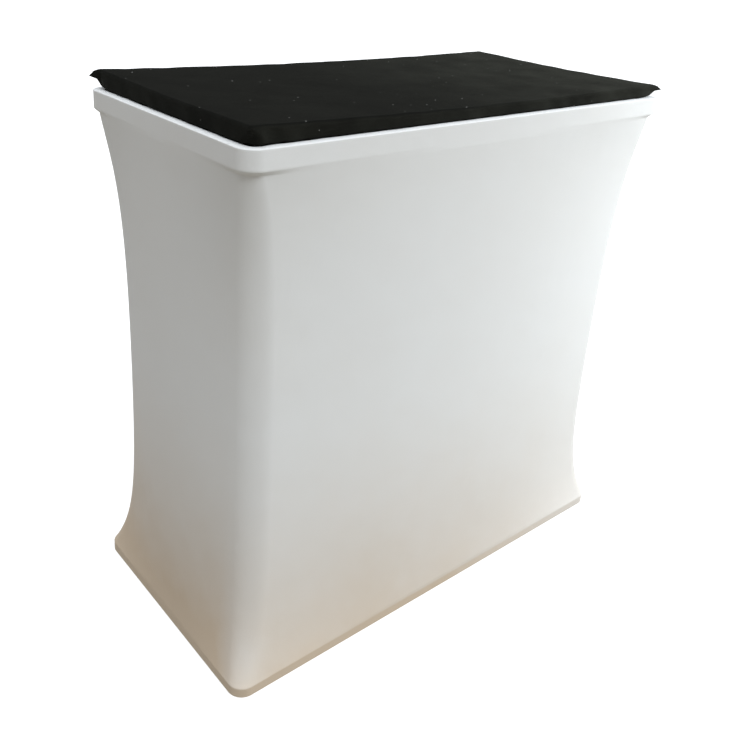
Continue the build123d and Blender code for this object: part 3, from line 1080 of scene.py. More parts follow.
# Charcoal loop nylon, scaled by painted highlights and painted light on its sides.
CHARCOAL_LOOP = LoopNylonFinish("charcoal_loop_nylon", (0.0033, 0.0034, 0.0028), (0.0011, 0.0011, 0.0008),
                                (0.46, 0.46, 0.44))
WHITE_THREAD = WovenFinish("white_thread", (0.83, 0.835, 0.84), (0.55, 0.56, 0.57), Across.Z, 0.0006, 0.00005)
WHITE_ELASTIC = WovenFinish("white_elastic", (0.8, 0.8, 0.79), (0.5, 0.5, 0.5), Across.Z, 0.0009)
BLACK_ELASTIC = WovenFinish("black_elastic", (0.022, 0.022, 0.022), (0.007, 0.007, 0.007), Across.X, 0.0009)
ZIP_TAPE = WovenFinish("zip_tape_weave", (0.8, 0.805, 0.81), (0.52, 0.53, 0.54), Across.Z, 0.0008)
ZIP_PLASTIC = MouldedFinish("zip_moulded_plastic", (0.8, 0.805, 0.81), (0.62, 0.6, 0.56), 0.38)
SLIDER_METAL = MetalFinish("zip_slider_metal", (0.62, 0.61, 0.6), (0.36, 0.35, 0.34), (1, 1, 1), 0.26)
FIBREBOARD = BoardFinish("fibreboard", (0.40, 0.27, 0.155), (0.29, 0.185, 0.10), (0.47, 0.34, 0.21))
DARK_FACE = BoardFinish("dark_faced_board", (0.028, 0.027, 0.026), (0.045, 0.043, 0.041),
                        (0.075, 0.07, 0.066), 0.48, 0.0012)
LIP_PAINT = BoardFinish("lip_white_paint", (0.78, 0.78, 0.76), (0.7, 0.7, 0.68), (0.62, 0.6, 0.56),
                        0.4, 0.003)
POST_METAL = MetalFinish("post_aluminium", (0.77, 0.78, 0.79), (0.5, 0.51, 0.52), (1, 1, 0.015), 0.32)
BOLT_METAL = MetalFinish("bolt_zinc", (0.66, 0.66, 0.62), (0.4, 0.39, 0.35), (1, 1, 1), 0.34)
SOCKET_PLASTIC = MouldedFinish("socket_plastic", (0.03, 0.03, 0.031), (0.085, 0.083, 0.08), 0.48)
GLIDE_RUBBER = MouldedFinish("glide_rubber", (0.022, 0.021, 0.02), (0.07, 0.066, 0.06), 0.74, 0.001, 0.0001)


@dataclass
class StretchSleeve:
    """White elastic sleeve, pulled over the lip and both boards and drawn in between them.

    Attributes:
        whole: Box of the sleeve.
        tray: Box of the elastic that lies round the foot of the tray's wall.
        top_board: Box of the top board.
        base_board: Box of the base board.
        slot_half: Half width of the slot for the zip.
        slot_low: Foot of the slot.
        slot_high: Head of the slot.
        cloth: Thickness of the fabric.
        rim_radius: Corner radius round the lip.
        base_radius: Corner radius round the base board.
        waist_radius: Corner radius where the skirt is drawn in most.
        waist_inset: How far the corners are drawn in there.
        face_inset: How far the front and the ends are drawn in at their middles.
        zip_inset: How far the back is drawn in at its middle.
        top_turn: Height of the fabric's sharp turn under the rim.
        base_turn: Height of its sharp turn over the base.
        top_draw: How slowly the rest fades below the rim.
        base_draw: How slowly it fades above the base.
        turn_share: Share of the whole that a sharp turn takes.
        pull: How far the drawn-in ends are moved towards plus X.
        tuck: How far the fabric is tucked in under the rim's corners.
        tuck_reach: How far from a corner the tuck fades.
        tuck_drop: How far down it fades.
        board_wrap: How far under the top board the rim's fabric reaches.
        lip_width: Width of the lip over the fabric.
        hem_drop: How far the tray's hem lies below the rim.
        base_hem: How far the other hem reaches in under the base.
        edge_round: Rounding of the lip's outer edge.
        base_round: Rounding of the base's lower edge.
        inner_round: Rounding of the lip's inner edge.
        hem_sag: How far the lower hem hangs below the CAD sleeve.
        lip_crown: How far the lip's top is crowned.
        lip_waver: Waver of the lip's inner edge.
        corner_waver: How much more it wavers at the corners.
        waver_reach: How far from a corner that fades.
        gather: Depth of the gathers in the hems.
        slack: Unevenness of the skirt.
        slack_size: Size of its clouds along each axis.
        fold_width: From the middle of the zip to where the doubled fabric ends.
        fold_height: How far the doubled fabric stands out.
        fold_step: Width of the columns over it.
        thread: Radius of the thread.
        stitch_pitch: From the start of one stitch to the next.
        stitch_length: Length of a stitch.
    """

    whole: Extent = field(default_factory=lambda: Extent.of("sleeve"))
    tray: Extent = field(default_factory=lambda: Extent.of("sleeve_top_elastic"))
    top_board: Extent = field(default_factory=lambda: Extent.of("top_board"))
    base_board: Extent = field(default_factory=lambda: Extent.of("base_board"))
    slot_half: float = 0.0065
    slot_low: float = 0.058
    slot_high: float = 0.906
    cloth: float = 0.0009
    rim_radius: float = 0.030
    base_radius: float = 0.030
    waist_radius: float = 0.055
    waist_inset: float = 0.029
    face_inset: float = 0.008
    zip_inset: float = 0.003
    top_turn: float = 0.008
    base_turn: float = 0.006
    top_draw: float = 0.130
    base_draw: float = 0.080
    turn_share: float = 0.08
    pull: float = 0.003
    tuck: float = 0.0072
    tuck_reach: float = 0.045
    tuck_drop: float = 0.034
    board_wrap: float = 0.0015
    lip_width: float = 0.020
    hem_drop: float = 0.0115
    base_hem: float = 0.025
    edge_round: float = 0.0012
    base_round: float = 0.0016
    inner_round: float = 0.0028
    hem_sag: float = 0.0008
    lip_crown: float = 0.0005
    lip_waver: float = 0.0007
    corner_waver: float = 0.0010
    waver_reach: float = 0.05
    gather: float = 0.00045
    slack: float = 0.00035
    slack_size: Triple = (0.13, 0.13, 0.34)
    fold_width: float = 0.0205
    fold_height: float = 0.00045
    fold_step: float = 0.0018
    thread: float = 0.00026
    stitch_pitch: float = 0.0033
    stitch_length: float = 0.0025

    def __post_init__(self) -> None:
        """Divides the loops: fine steps at the corners and beside the slot."""
        self.columns = Columns(
            long_shares=self.long_shares(),
            short_shares=graded(self.whole.half.y - self.waist_radius, 0.0030, 1.12, 0.012),
            corner_steps=26,
            gap=self.slot_half,
        )
        self.foot = self.base_board.high.z
        self.head = self.top_board.low.z - self.board_wrap
        self.gathers = Ripple(seed=11, fewest=150, most=240)

    def long_shares(self) -> tuple[float, ...]:
        """Shares of half a long face: the slot, fine steps over its fold, then wide ones.

        Returns:
            The shares, from 0 to 1.
        """
        half = self.whole.half.x - self.waist_radius
        fold = [share * self.fold_step + self.slot_half for share in range(1, 12)]
        wide = half - fold[-1]
        rest = [fold[-1] + share * wide for share in graded(wide, 0.003, 1.1, 0.012)[1:]]
        return tuple(place / half for place in [0.0, self.slot_half, *fold, *rest])

    def hold(self, distance: float, turn: float, length: float, share: float) -> float:
        """How firmly a board still holds the fabric out.

        Args:
            distance: Distance from the board.
            turn: How far the fabric's first sharp turn reaches.
            length: How slowly the rest fades.
            share: How much of the whole the first turn takes.

        Returns:
            1 at the board, and 0 at the other one.
        """
        drop = self.head - self.foot
        turned = share * min(distance / turn, 1)
        tail = exp(-(drop - turn) / length)
        fade = exp(-max(distance - turn, 0) / length)
        return (1 - turned) * (fade - tail) / (1 - tail)

    def skirt(self, level: float) -> Band:
        """Loop of the drawn-in skirt.

        Args:
            level: Its height.

        Returns:
            The loop.
        """
        holds = []
        for share in (self.turn_share, 0.0):
            holds.append(self.hold(self.head - level, self.top_turn, self.top_draw, share))
            holds.append(self.hold(level - self.foot, self.base_turn, self.base_draw, share))
        top, base = holds[:2]
        drawn = max(1 - top - base, 0)
        evenly = max(1 - holds[2] - holds[3], 0)
        inset = self.waist_inset * drawn
        radius = self.waist_radius
        radius -= (self.waist_radius - self.rim_radius) * top
        radius -= (self.waist_radius - self.base_radius) * base
        bulge = inset - min(self.face_inset * evenly, inset)
        back = inset - min(self.zip_inset, inset)
        return Band(level, self.whole.half.x - inset, self.whole.half.y - inset, radius, bulge, bulge, back)

    def shrunk(self, level: float, inset: float, radius: float) -> Band:
        """Straight-sided loop, taken in from the outside."""
        return Band(level, self.whole.half.x - inset, self.whole.half.y - inset, radius - inset)

    def levels(self) -> list[float]:
        """Levels of the skirt, from the top board down, closest near the boards.

        Returns:
            The levels.
        """
        half = (self.head - self.foot) / 2
        shares = graded(half, 0.0008, 1.075, 0.011)
        middle = (self.head + self.foot) / 2
        upper = [middle + share * half for share in reversed(shares)]
        lower = [middle - share * half for share in shares[1:]]
        return upper + lower

    def bands(self) -> list[Band]:
        """All loops of the sleeve, from the tray's hem over the lip and down under the base.

        Returns:
            The loops.
        """
        rim = self.whole.high.z
        floor = self.whole.low.z - self.hem_sag
        inner, outer, lower = self.inner_round, self.edge_round, self.base_round
        wall = np.linspace(rim - self.hem_drop, rim - inner, 7)
        loops = [self.shrunk(level, self.lip_width, self.rim_radius) for level in wall]
        for turn in quarter(5):
            inset = self.lip_width - inner * (1 - cos(turn))
            loops.append(self.shrunk(rim - inner * (1 - sin(turn)), inset, self.rim_radius))
        for share in np.linspace(0, 1, 10):
            inset = self.lip_width - inner + share * (outer - self.lip_width + inner)
            loops.append(self.shrunk(rim + self.lip_crown * sin(pi * share), inset, self.rim_radius))
        for turn in quarter(5):
            inset = outer * (1 - sin(turn))
            loops.append(self.shrunk(rim - outer * (1 - cos(turn)), inset, self.rim_radius))
        for level in np.linspace(rim - outer, self.head, 13)[:-1]:
            loops.append(self.shrunk(level, 0, self.rim_radius))
        loops += [self.skirt(level) for level in self.levels()]
        for level in np.linspace(self.foot, floor + lower, 9)[1:]:
            loops.append(self.shrunk(level, 0, self.base_radius))
        for turn in quarter(4):
            level, inset = floor + lower * (1 - sin(turn)), lower * (1 - cos(turn))
            loops.append(self.shrunk(level, inset, self.base_radius))
        for inset in np.linspace(lower, self.base_hem, 8):
            loops.append(self.shrunk(floor, inset, self.base_radius))
        return loops

    def waver(self, loops: Array) -> Array:
        """Moves the cloth off its ideal form: gathers, a wavering lip, slack and the zip's fold.

        Args:
            loops: Ideal loops, by row and column.

        Returns:
            The loops with the cloth's own unevenness.
        """
        away = outward(loops)
        shares = every_share(loops)
        level = loops[..., 2]
        inset_x = self.whole.half.x - np.abs(loops[..., 0])
        inset_y = self.whole.half.y - np.abs(loops[..., 1])
        inset = np.minimum(inset_x, inset_y)
        rim = self.whole.high.z
        on_lip = (level > rim - self.hem_drop - 10 * HAIR) & (inset > 0.5 * self.lip_width)
        near_corner = np.exp(-np.hypot(inset_x, inset_y) / self.waver_reach)
        long_waver = self.lip_waver + self.corner_waver * near_corner
        edge = Ripple(seed=5, fewest=14, most=70).at(shares) * long_waver
        share = eased(inset, 0.35 * self.lip_width, self.lip_width)
        moved = loops + away * (np.where(on_lip, edge * share, 0))[..., None]
        in_tray = (level < rim - self.inner_round) & on_lip
        depth = eased(rim - level, 0.25 * self.hem_drop, self.hem_drop)
        moved += away * np.where(in_tray, self.crimp(shares) / 2 * depth, 0)[..., None]
        under = (level < self.whole.low.z) & (inset > self.base_round)
        scallop = (self.gathers.at(shares) + 1) * self.gather
        scallop *= eased(inset, 0.4 * self.base_hem, self.base_hem)
        moved += away * np.where(under, scallop, 0)[..., None]
        on_skirt = eased(level, self.foot, self.foot + 0.06) * eased(-level, -self.head, -self.head + 0.06)
        moved += away * (cloudy(loops, self.slack_size) * on_skirt * self.slack)[..., None]
        drawn = np.array([(self.whole.half.x - band.half_x) / self.waist_inset for band in self.bands()])
        drawn *= (level[:, 0] > self.foot) & (level[:, 0] < self.head)
        moved[..., 0] += self.pull * drawn[:, None] * eased(np.abs(loops[..., 0]), 0.05, 0.4)
        below = self.head - level
        tucked = eased(below, 0, self.top_turn)
        tucked *= np.exp(-np.maximum(below - self.top_turn, 0) / self.tuck_drop)
        tucked *= np.exp(-((np.hypot(inset_x, inset_y) / self.tuck_reach) ** 2)) * (below > 0)
        moved -= away * (self.tuck * tucked)[..., None]
        return moved + away * self.fold(loops)[..., None]

    def crimp(self, shares: Array) -> Array:
        """How far the gathers draw the hem in the tray off its even form, at shares of the way round."""
        return (self.gathers.at(shares) - 1) * self.gather

    def fold(self, loops: Array) -> Array:
        """How far the turned-in edges beside the zip stand out.

        Args:
            loops: Loops of points.

        Returns:
            A height for each point.
        """
        beside = np.abs(loops[..., 0])
        doubled = eased(-beside, -self.fold_width, -self.fold_width + 0.0025)
        rolled = 1 - 0.8 * eased(-beside, -self.slot_half - 0.0016, -self.slot_half)
        reach = eased(loops[..., 2], self.slot_low - 0.014, self.slot_low - 0.010)
        reach *= eased(-loops[..., 2], -self.slot_high - 0.014, -self.slot_high - 0.010)
        return np.where(loops[..., 1] > 0, self.fold_height * doubled * rolled * reach, 0)

    def slot(self, loops: Array) -> Array:
        """Faces that the zip's slot takes out, with the nearest rows moved to its ends.

        Args:
            loops: Loops of points, changed in place.

        Returns:
            True for each face that is left out.
        """
        middle = self.columns.back_middle
        outside = loops[:, middle, 1] > self.whole.half.y - self.zip_inset - self.cloth
        rows = np.flatnonzero(outside & (loops[:, middle, 2] < self.head))
        low = rows[np.abs(loops[rows, middle, 2] - self.slot_low).argmin()]
        high = rows[np.abs(loops[rows, middle, 2] - self.slot_high).argmin()]
        near = slice(middle - 1, middle + 2)
        loops[low, near, 2] = self.slot_low
        loops[high, near, 2] = self.slot_high
        gone = np.zeros((len(loops) - 1, loops.shape[1]), bool)
        gone[high:low, middle - 1 : middle + 1] = True
        return gone

    def skin(self) -> Piece:
        """Builds the sleeve's cloth.

        Returns:
            The cloth.
        """
        loops = np.stack([self.columns.trace(band) for band in self.bands()])
        loops = self.waver(loops)
        gone = self.slot(loops)
        cloth = loft("stretch_sleeve", loops, self.knit, gone, anchor=len(self.columns.long_shares) - 1)
        thicken(cloth, self.cloth)
        return settle(cloth, Body.COUNTER, "sleeve_fabric", "sleeve")

    def tray_elastic(self) -> Piece:
        """Elastic sewn round the foot of the tray's wall, gathered with the hem.

        Returns:
            The elastic.
        """
        low, high = self.tray.low.z, self.tray.high.z
        width, chamfer, tightest = 0.0012, 0.0004, 0.004
        section = [(low, 0.0), (high, 0.0), (high, 0.7 * width), (high - chamfer, width)]
        section += [((low + high) / 2, 0.86 * width), (low + chamfer, width), (low, 0.7 * width)]
        corner = self.rim_radius - (self.whole.half.x - self.tray.half.x)
        outline = Band(low, self.tray.half.x, self.tray.half.y, corner)
        bands = [outline.shrunk(level, deeper, max(corner - deeper, tightest)) for level, deeper in section]
        loops = np.stack([self.columns.trace(band) for band in bands])
        loops += outward(loops) * self.crimp(shares_round(loops[0]))[None, :, None]
        band = loft("tray_elastic", loops, WHITE_ELASTIC.material(), close=True)
        return settle(band, Body.COUNTER, "elastic", "sleeve_top_elastic")

    def back_at(self, beside: float, level: float) -> Vector:
        """Point on the outside of the back.

        Args:
            beside: Distance from the middle, along X.
            level: Height.

        Returns:
            The point.
        """
        band = self.skirt(level)
        centre, leans = self.columns.faces(band)
        depth = -float(self.columns.depth(centre, band, leans[2], band.back, np.array(beside)))
        spot = np.array([[[beside, depth, level]]])
        return Vector((beside, depth + float(self.fold(spot)[0, 0]), level))

    def stitching(self) -> list[Piece]:
        """Sews two rows each side of the zip, a bar at each end of it, and a row round the tray.

        Returns:
            The rows of stitches.
        """
        thread = WHITE_THREAD.material()
        starts, ends = [], []
        for beside in (self.slot_half + 0.0022, self.fold_width - 0.0042):
            for side in Side:
                levels = np.linspace(self.slot_low - 0.006, self.slot_high + 0.006, 60)
                path = np.array([self.back_at(side.value * beside, level) for level in levels])
                row = seam(path, self.stitch_pitch, self.stitch_length)
                starts.append(row[0])
                ends.append(row[1])
        for level in (self.slot_low - 0.0028, self.slot_high + 0.0028):
            reach = self.slot_half + 0.003
            across = np.arange(-reach, reach, 0.0007)
            starts.append(np.array([self.back_at(beside, level - 0.0016) for beside in across]))
            ends.append(np.array([self.back_at(beside + 0.0003, level + 0.0016) for beside in across]))
        back = sew("zip_stitching", np.concatenate(starts), np.concatenate(ends), self.thread, thread)
        level = (self.tray.low.z + self.tray.high.z) / 2
        inset = 0.0011
        ring = self.columns.trace(Band(level, self.tray.half.x - inset, self.tray.half.y - inset, 0.009))
        ring += outward(ring[None])[0] * self.crimp(shares_round(ring))[:, None]
        around = seam(np.vstack([ring, ring[:1]]), self.stitch_pitch, self.stitch_length)
        tray = sew("tray_stitching", *around, self.thread, thread)
        return [settle(row, Body.COUNTER, "sleeve_fabric") for row in (back, tray)]

    def build(self) -> None:
        """Builds and dresses the sleeve."""
        self.knit = WHITE_KNIT.material()
        cloth = self.skin()
        elastic = self.tray_elastic()
        rows = self.stitching()
        repaint(["sleeve_bottom_elastic"], WHITE_ELASTIC.material())


@dataclass
class BackZip:
    """Zip down the middle of the back: moulded teeth on woven tapes, stops, slider and pull.

    Attributes:
        rows: Boxes of the CAD rows of teeth, by side.
        pitch: Height of one tooth and one gap in a row.
        centre_gap: From the middle to the tip of a tooth.
        edge: Rounding of a tooth's faces.
        top_clear: How far the uppermost teeth stay below the row's end.
    """

    rows: dict[Side, Extent] = field(default_factory=lambda: {
        side: Extent.of(f"zip_teeth_{side.name.lower()}") for side in Side
    })
    pitch: float = 0.0024
    centre_gap: float = 0.00035
    edge: float = 0.00025
    top_clear: float = 0.0009

    def profile(self, taken_in: float) -> Array:
        """Outline of one tooth seen from behind: head, neck and the body that grips the tape.

        Args:
            taken_in: How far the outline is taken in.

        Returns:
            Places out from the middle, and up from the tooth's own level.
        """
        outer = self.rows[Side.RIGHT].high.x - taken_in
        tip = self.centre_gap + taken_in
        head, neck, body = (part - taken_in for part in (0.00082, 0.00052, 0.00084))
        half = [(tip, 0.45 * head), (tip + 0.0005, head), (tip + 0.00115, head), (tip + 0.0015, neck)]
        half += [(tip + 0.0020, neck), (tip + 0.0025, body), (outer, body)]
        upper = np.array(half)
        return np.vstack([upper, upper[::-1] * (1, -1)])

    def teeth(self, side: Side) -> None:
        """Builds one row of teeth, half a pitch off the other row.

        Args:
            side: Which row.
        """
        row = self.rows[side]
        thick = row.half.y
        flat = thick - self.edge
        layers = [(-thick, self.edge), (-flat, 0.0), (flat, 0.0), (thick, self.edge)]
        outline = [self.profile(taken_in) for _, taken_in in layers]
        corners = len(outline[0])
        tooth = np.concatenate([
            np.column_stack([side.value * shape[:, 0], np.full(corners, row.middle.y + depth), shape[:, 1]])
            for shape, (depth, _) in zip(outline, layers)
        ])
        faces = [tuple(range(corners)), tuple(3 * corners + corner for corner in reversed(range(corners)))]
        for layer in range(len(layers) - 1):
            low, high = layer * corners, (layer + 1) * corners
            for corner in range(corners):
                near = (corner + 1) % corners
                faces.append((low + corner, high + corner, high + near, low + near))
        if side is Side.LEFT:
            faces = [face[::-1] for face in faces]
        shift = self.pitch / 2 if side is Side.LEFT else 0
        levels = np.arange(row.low.z + self.pitch / 2 + shift, row.high.z - self.top_clear, self.pitch)
        lift = np.column_stack([np.zeros((len(levels), 2)), levels])
        points = (tooth[None] + lift[:, None]).reshape(-1, 3)
        every = copies(faces, len(tooth), len(levels))
        chain = add_mesh(f"zip_chain_{side.name.lower()}", points, every, self.plastic, sharp=35)
        settle(chain, Body.COUNTER, "zip_teeth", f"zip_teeth_{side.name.lower()}")

    def build(self) -> None:
        """Builds both rows of teeth and dresses the rest of the zip."""
        self.plastic = ZIP_PLASTIC.material()
        for side in Side:
            self.teeth(side)
        repaint(["zip_tape_left", "zip_tape_right"], ZIP_TAPE.material())
        repaint(["zip_top_stops", "zip_bottom_stop"], self.plastic)
        repaint(["zip_slider", "zip_pull"], SLIDER_METAL.material())


@dataclass(frozen=True)
class Ear:
    """Sewn point of the lid's cover at one corner.

    Attributes:
        signs: Which corner, by the signs of X and Y.
        rise: How far the lid stands above its even level at that corner.
        reach: How far the point sticks out along X and Y.
    """

    signs: tuple[int, int]
    rise: float
    reach: Pair


@dataclass
class CoveredLid:
    """Loose lid: a board in a dark loop-nylon cover, gathered under it, with sewn points.

    Attributes:
        cover: Box of the whole cover, with its points.
        counter: Box of the sleeve that the lid lies in.
        margin: From the sleeve's outside to the lid's edge.
        bevel: How far the side is in from the edge at its foot.
        corner_radius: Corner radius at the top.
        foot_corner: Corner radius at the foot.
        edge_round: Rounding of the top edge.
        foot_round: Rounding of the foot.
        hem: Width of the hem under the board.
        cloth: Thickness of the cover.
        gather: Depth of the gathers under the board.
        seam: Half width of the innermost loop, which is welded shut.
        fine_field: From the edge to the field whose close points are welded.
        fine_drop: Drop down to which the side has fine steps.
        weld_reach: Points closer than this are welded.
        ears: The four sewn points.
        long_sag: How far the lid sags in the middle of its length.
        short_sag: How far it sags in the middle of its depth.
        tip_drop: Drop of the points' tips below the top.
        ear_depth: Drop at which the body of a point ends.
        ear_web: Share of a point that runs on down to the foot.
        ear_half: Half width of a point along the edge.
        edge_waver: Waver of the top edge.
        side_waver: Height of the creases on the sides.
        top_waver: Unevenness of the top.
        top_wave: Size of its clouds.
        crumple_corner: Which corner is crumpled, by the signs of X and Y.
        crumple_along: From that corner to the crumple.
        crumple_drop: Its drop below the top.
        crumple_size: Its radius.
        crumple_height: How far it stands out.
        dimple_along: From the corner to the dimple.
        dimple_drop: Its drop below the top.
        dimple_size: Its size.
        dimple_depth: Its depth.
        core_gap: How much smaller the board inside is all round.
        lap_clear: Height of the lap's lower edge over the lip.
        lap_round: Rounding of that edge.
        lap_corner: Corner radius there.
        lap_waver: How far that edge lifts everywhere.
        lap_crumple: How much further it lifts by the crumpled corner.
        tray_inset: Inset of the cover where it enters the tray.
        tray_round: Rounding of its turn down into the tray.
        tray_corner: Corner radius there.
        cover_bend: Power by which the cover follows the warp.
        core_bend: Power by which the board does.
        side_step: Fine step down the sides.
        lap_band: Height over which the lift fades.
        lap_fade: How far from the crumpled corner it fades.
    """

    cover: Extent = field(default_factory=lambda: Extent.of("lid_cover"))
    counter: Extent = field(default_factory=lambda: Extent.of("sleeve"))
    margin: float = 0.0138
    bevel: float = 0.012
    corner_radius: float = 0.006
    foot_corner: float = 0.018
    edge_round: float = 0.0055
    foot_round: float = 0.0030
    hem: float = 0.0505
    cloth: float = 0.0010
    gather: float = 0.0008
    seam: float = 0.00005
    fine_field: float = 0.045
    fine_drop: float = 0.019
    weld_reach: float = 0.0026
    ears: tuple[Ear, ...] = (
        Ear((-1, -1), 0.0055, (0.003, 0.006)),
        Ear((1, -1), 0.0005, (0.0195, 0.0125)),
        Ear((1, 1), 0.0030, (0.016, 0.011)),
        Ear((-1, 1), 0.0090, (0.0175, 0.0135)),
    )
    long_sag: float = 0.0068
    short_sag: float = 0.0030
    tip_drop: float = 0.0100
    ear_depth: float = 0.0135
    ear_web: float = 0.50
    ear_half: float = 0.0125
    edge_waver: float = 0.0005
    side_waver: float = 0.0007
    top_waver: float = 0.0004
    top_wave: float = 0.13
    crumple_corner: tuple[int, int] = (-1, -1)
    crumple_along: float = 0.0165
    crumple_drop: float = 0.0165
    crumple_size: float = 0.0150
    crumple_height: float = 0.0042
    dimple_along: float = 0.0035
    dimple_drop: float = 0.0130
    dimple_size: float = 0.0060
    dimple_depth: float = 0.0036
    core_gap: float = 0.0050
    lap_clear: float = 0.0015
    lap_round: float = 0.0028
    lap_corner: float = 0.030
    lap_waver: float = 0.0004
    lap_crumple: float = 0.0018
    tray_inset: float = 0.0082
    tray_round: float = 0.0012
    tray_corner: float = 0.011
    cover_bend: float = 0.8
    core_bend: float = 1.4
    side_step: float = 0.0009
    lap_band: float = 0.0045
    lap_fade: float = 0.06

    def __post_init__(self) -> None:
        """Works out the lid's even levels and divides its loops, finest at the corners."""
        self.half = Vector((self.counter.half.x - self.margin, self.counter.half.y - self.margin))
        self.top = self.cover.high.z
        self.foot = self.cover.low.z
        self.lap = self.top - self.counter.high.z - self.lap_clear
        self.columns = Columns(
            long_shares=self.fine_ends(self.half.x),
            short_shares=self.fine_ends(self.half.y),
            corner_steps=12,
        )

    def fine_ends(self, half: float) -> tuple[float, ...]:
        """Shares of half a side, with steps of a millimetre for its last stretch.

        Args:
            half: Half the side's length.

        Returns:
            The shares, from 0 to 1.
        """
        straight = half - self.corner_radius
        end = 0.036
        fine = np.linspace(straight - end, straight, 31)
        wide = np.array(graded(straight - end, 0.0014, 1.15, 0.008)) * (straight - end)
        return tuple(np.concatenate([wide, fine[1:]]) / straight)

    def rise(self, x: Array, y: Array) -> Array:
        """How far the warped lid stands above its even level.

        Args:
            x: Places along X.
            y: Places along Y.

        Returns:
            The heights.
        """
        across = np.clip(x / self.half.x, -1, 1)
        along = np.clip(y / self.half.y, -1, 1)
        height = np.zeros_like(across)
        for ear in self.ears:
            height += ear.rise * (1 + ear.signs[0] * across) * (1 + ear.signs[1] * along) / 4
        height -= self.long_sag * (1 - across**2)
        return height - self.short_sag * (1 - along**2)

    def sloping_side(self, last: float, radius: float) -> list[Triple]:
        """Steps down the side of the board, which slopes in to its foot.

        Args:
            last: Drop of the lowest one.
            radius: Corner radius at the top.

        Returns:
            Drop, inset and corner radius of each.
        """
        fine = np.arange(self.edge_round, self.fine_drop, self.side_step)
        drops = [*fine, *np.linspace(self.fine_drop, last, 9)]
        shares = [drop / (self.top - self.foot) for drop in drops]
        wider = self.foot_corner - self.corner_radius
        return [(drop, self.bevel * share, radius + wider * share) for drop, share in zip(drops, shares)]

    def lapped_side(self, last: float) -> list[Triple]:
        """Steps down the side of the cover, which hangs over the lip a little and then turns in to the tray.

        Args:
            last: Drop of the lowest one.

        Returns:
            Drop, inset and corner radius of each.
        """
        lap, turned, inner = self.lap, self.lap_round, self.tray_round
        over = [(drop, 0.0) for drop in np.arange(self.edge_round, lap - turned, self.side_step)]
        over += [(lap - turned * (1 - sin(turn)), turned * (1 - cos(turn))) for turn in quarter(6)]
        wider = (self.lap_corner - self.corner_radius) / lap
        steps = [(drop, inset, self.corner_radius + wider * drop - inset) for drop, inset in over]
        under = [(lap, inset) for inset in np.linspace(turned, self.tray_inset - inner, 4)]
        for turn in quarter(4):
            under.append((lap + inner * (1 - cos(turn)), self.tray_inset - inner * (1 - sin(turn))))
        widest = self.lap_corner - turned
        for drop, inset in under:
            share = (inset - turned) / (self.tray_inset - turned)
            steps.append((drop, inset, widest + share * (self.tray_corner - widest)))
        for share in np.linspace(0, 1, 8):
            drop = lap + inner + share * (last - lap - inner)
            inset = self.tray_inset + share * (self.bevel - self.tray_inset)
            steps.append((drop, inset, self.tray_corner + share * (self.foot_corner - self.tray_corner)))
        return steps

    def sections(self, taken_in: float = 0.0, foot: float | None = None,
                 lapped: bool = False) -> Rings:
        """Loops from the middle of the top over the edge and down to the foot.

        Args:
            taken_in: How far all of them are taken in.
            foot: Level of the lowest one.
            lapped: Whether the side hangs over the lip.

        Returns:
            Each loop with its drop below the top and its inset from the edge.
        """
        low = self.foot if foot is None else foot
        top = self.top - taken_in
        radius = max(self.corner_radius - taken_in, 0.002)
        outline = Band(top, self.half.x - taken_in, self.half.y - taken_in, radius)
        edge = self.edge_round
        rings: Rings = []
        width = outline.half_y - self.seam
        for share in graded(width - edge, 0.0012, 1.17, 0.009):
            inset = width - share * (width - edge)
            corner = max(radius + edge / 2 - inset, 0.8 * self.seam)
            rings.append((outline.shrunk(top, inset, corner), 0.0, inset))
        slope = 0.0 if lapped else self.bevel / (self.top - self.foot)
        for turn in quarter(7):
            drop = edge * (1 - cos(turn))
            inset = edge * (1 - sin(turn)) + slope * drop
            rings.append((outline.shrunk(top - drop, inset, radius - 0.5 * inset), drop, inset))
        last = top - low - self.foot_round
        for drop, inset, corner in self.lapped_side(last) if lapped else self.sloping_side(last, radius):
            rings.append((outline.shrunk(top - drop, inset, corner), drop, inset))
        return rings

    def underside(self, rings: Rings) -> Rings:
        """Loops that turn under the board and run in to the elastic.

        Args:
            rings: The loops above them.

        Returns:
            The loops, as for the sections.
        """
        last = rings[-1][0]
        turned = self.foot_round
        under: Rings = []
        for turn in quarter(5):
            inset, level = turned * (1 - cos(turn)), self.foot + turned * (1 - sin(turn))
            band = last.shrunk(level, inset, last.radius)
            under.append((band, self.top - level, self.bevel))
        for inset in np.linspace(turned, self.hem - 0.001, 14):
            band = last.shrunk(self.foot, inset, last.radius)
            under.append((band, self.top - self.foot, self.bevel + inset))
        return under

    def warp(self, loops: Array, still: float, bend: float) -> Array:
        """Lifts the upper part of the lid to its warped form, while its foot stays flat.

        Args:
            loops: Even loops.
            still: Level up to which it stays.
            bend: Power by which the rest takes part, from there to the top.

        Returns:
            The warped loops.
        """
        share = np.clip((loops[..., 2] - still) / (self.top - still), 0, 1) ** bend
        loops[..., 2] += self.rise(loops[..., 0], loops[..., 1]) * share
        return loops

    def from_corner(self, loops: Array, signs: tuple[int, int]) -> list[Array]:
        """How far each point is from the corner of these signs, along X and along Y."""
        return [self.half[axis] - signs[axis] * loops[..., axis] for axis in (0, 1)]

    def corner_distance(self, loops: Array, signs: tuple[int, int]) -> Array:
        """How far along its loop each point is from a corner, more than 0 towards the long side."""
        from_x, from_y = self.from_corner(loops, signs)
        return from_x - from_y

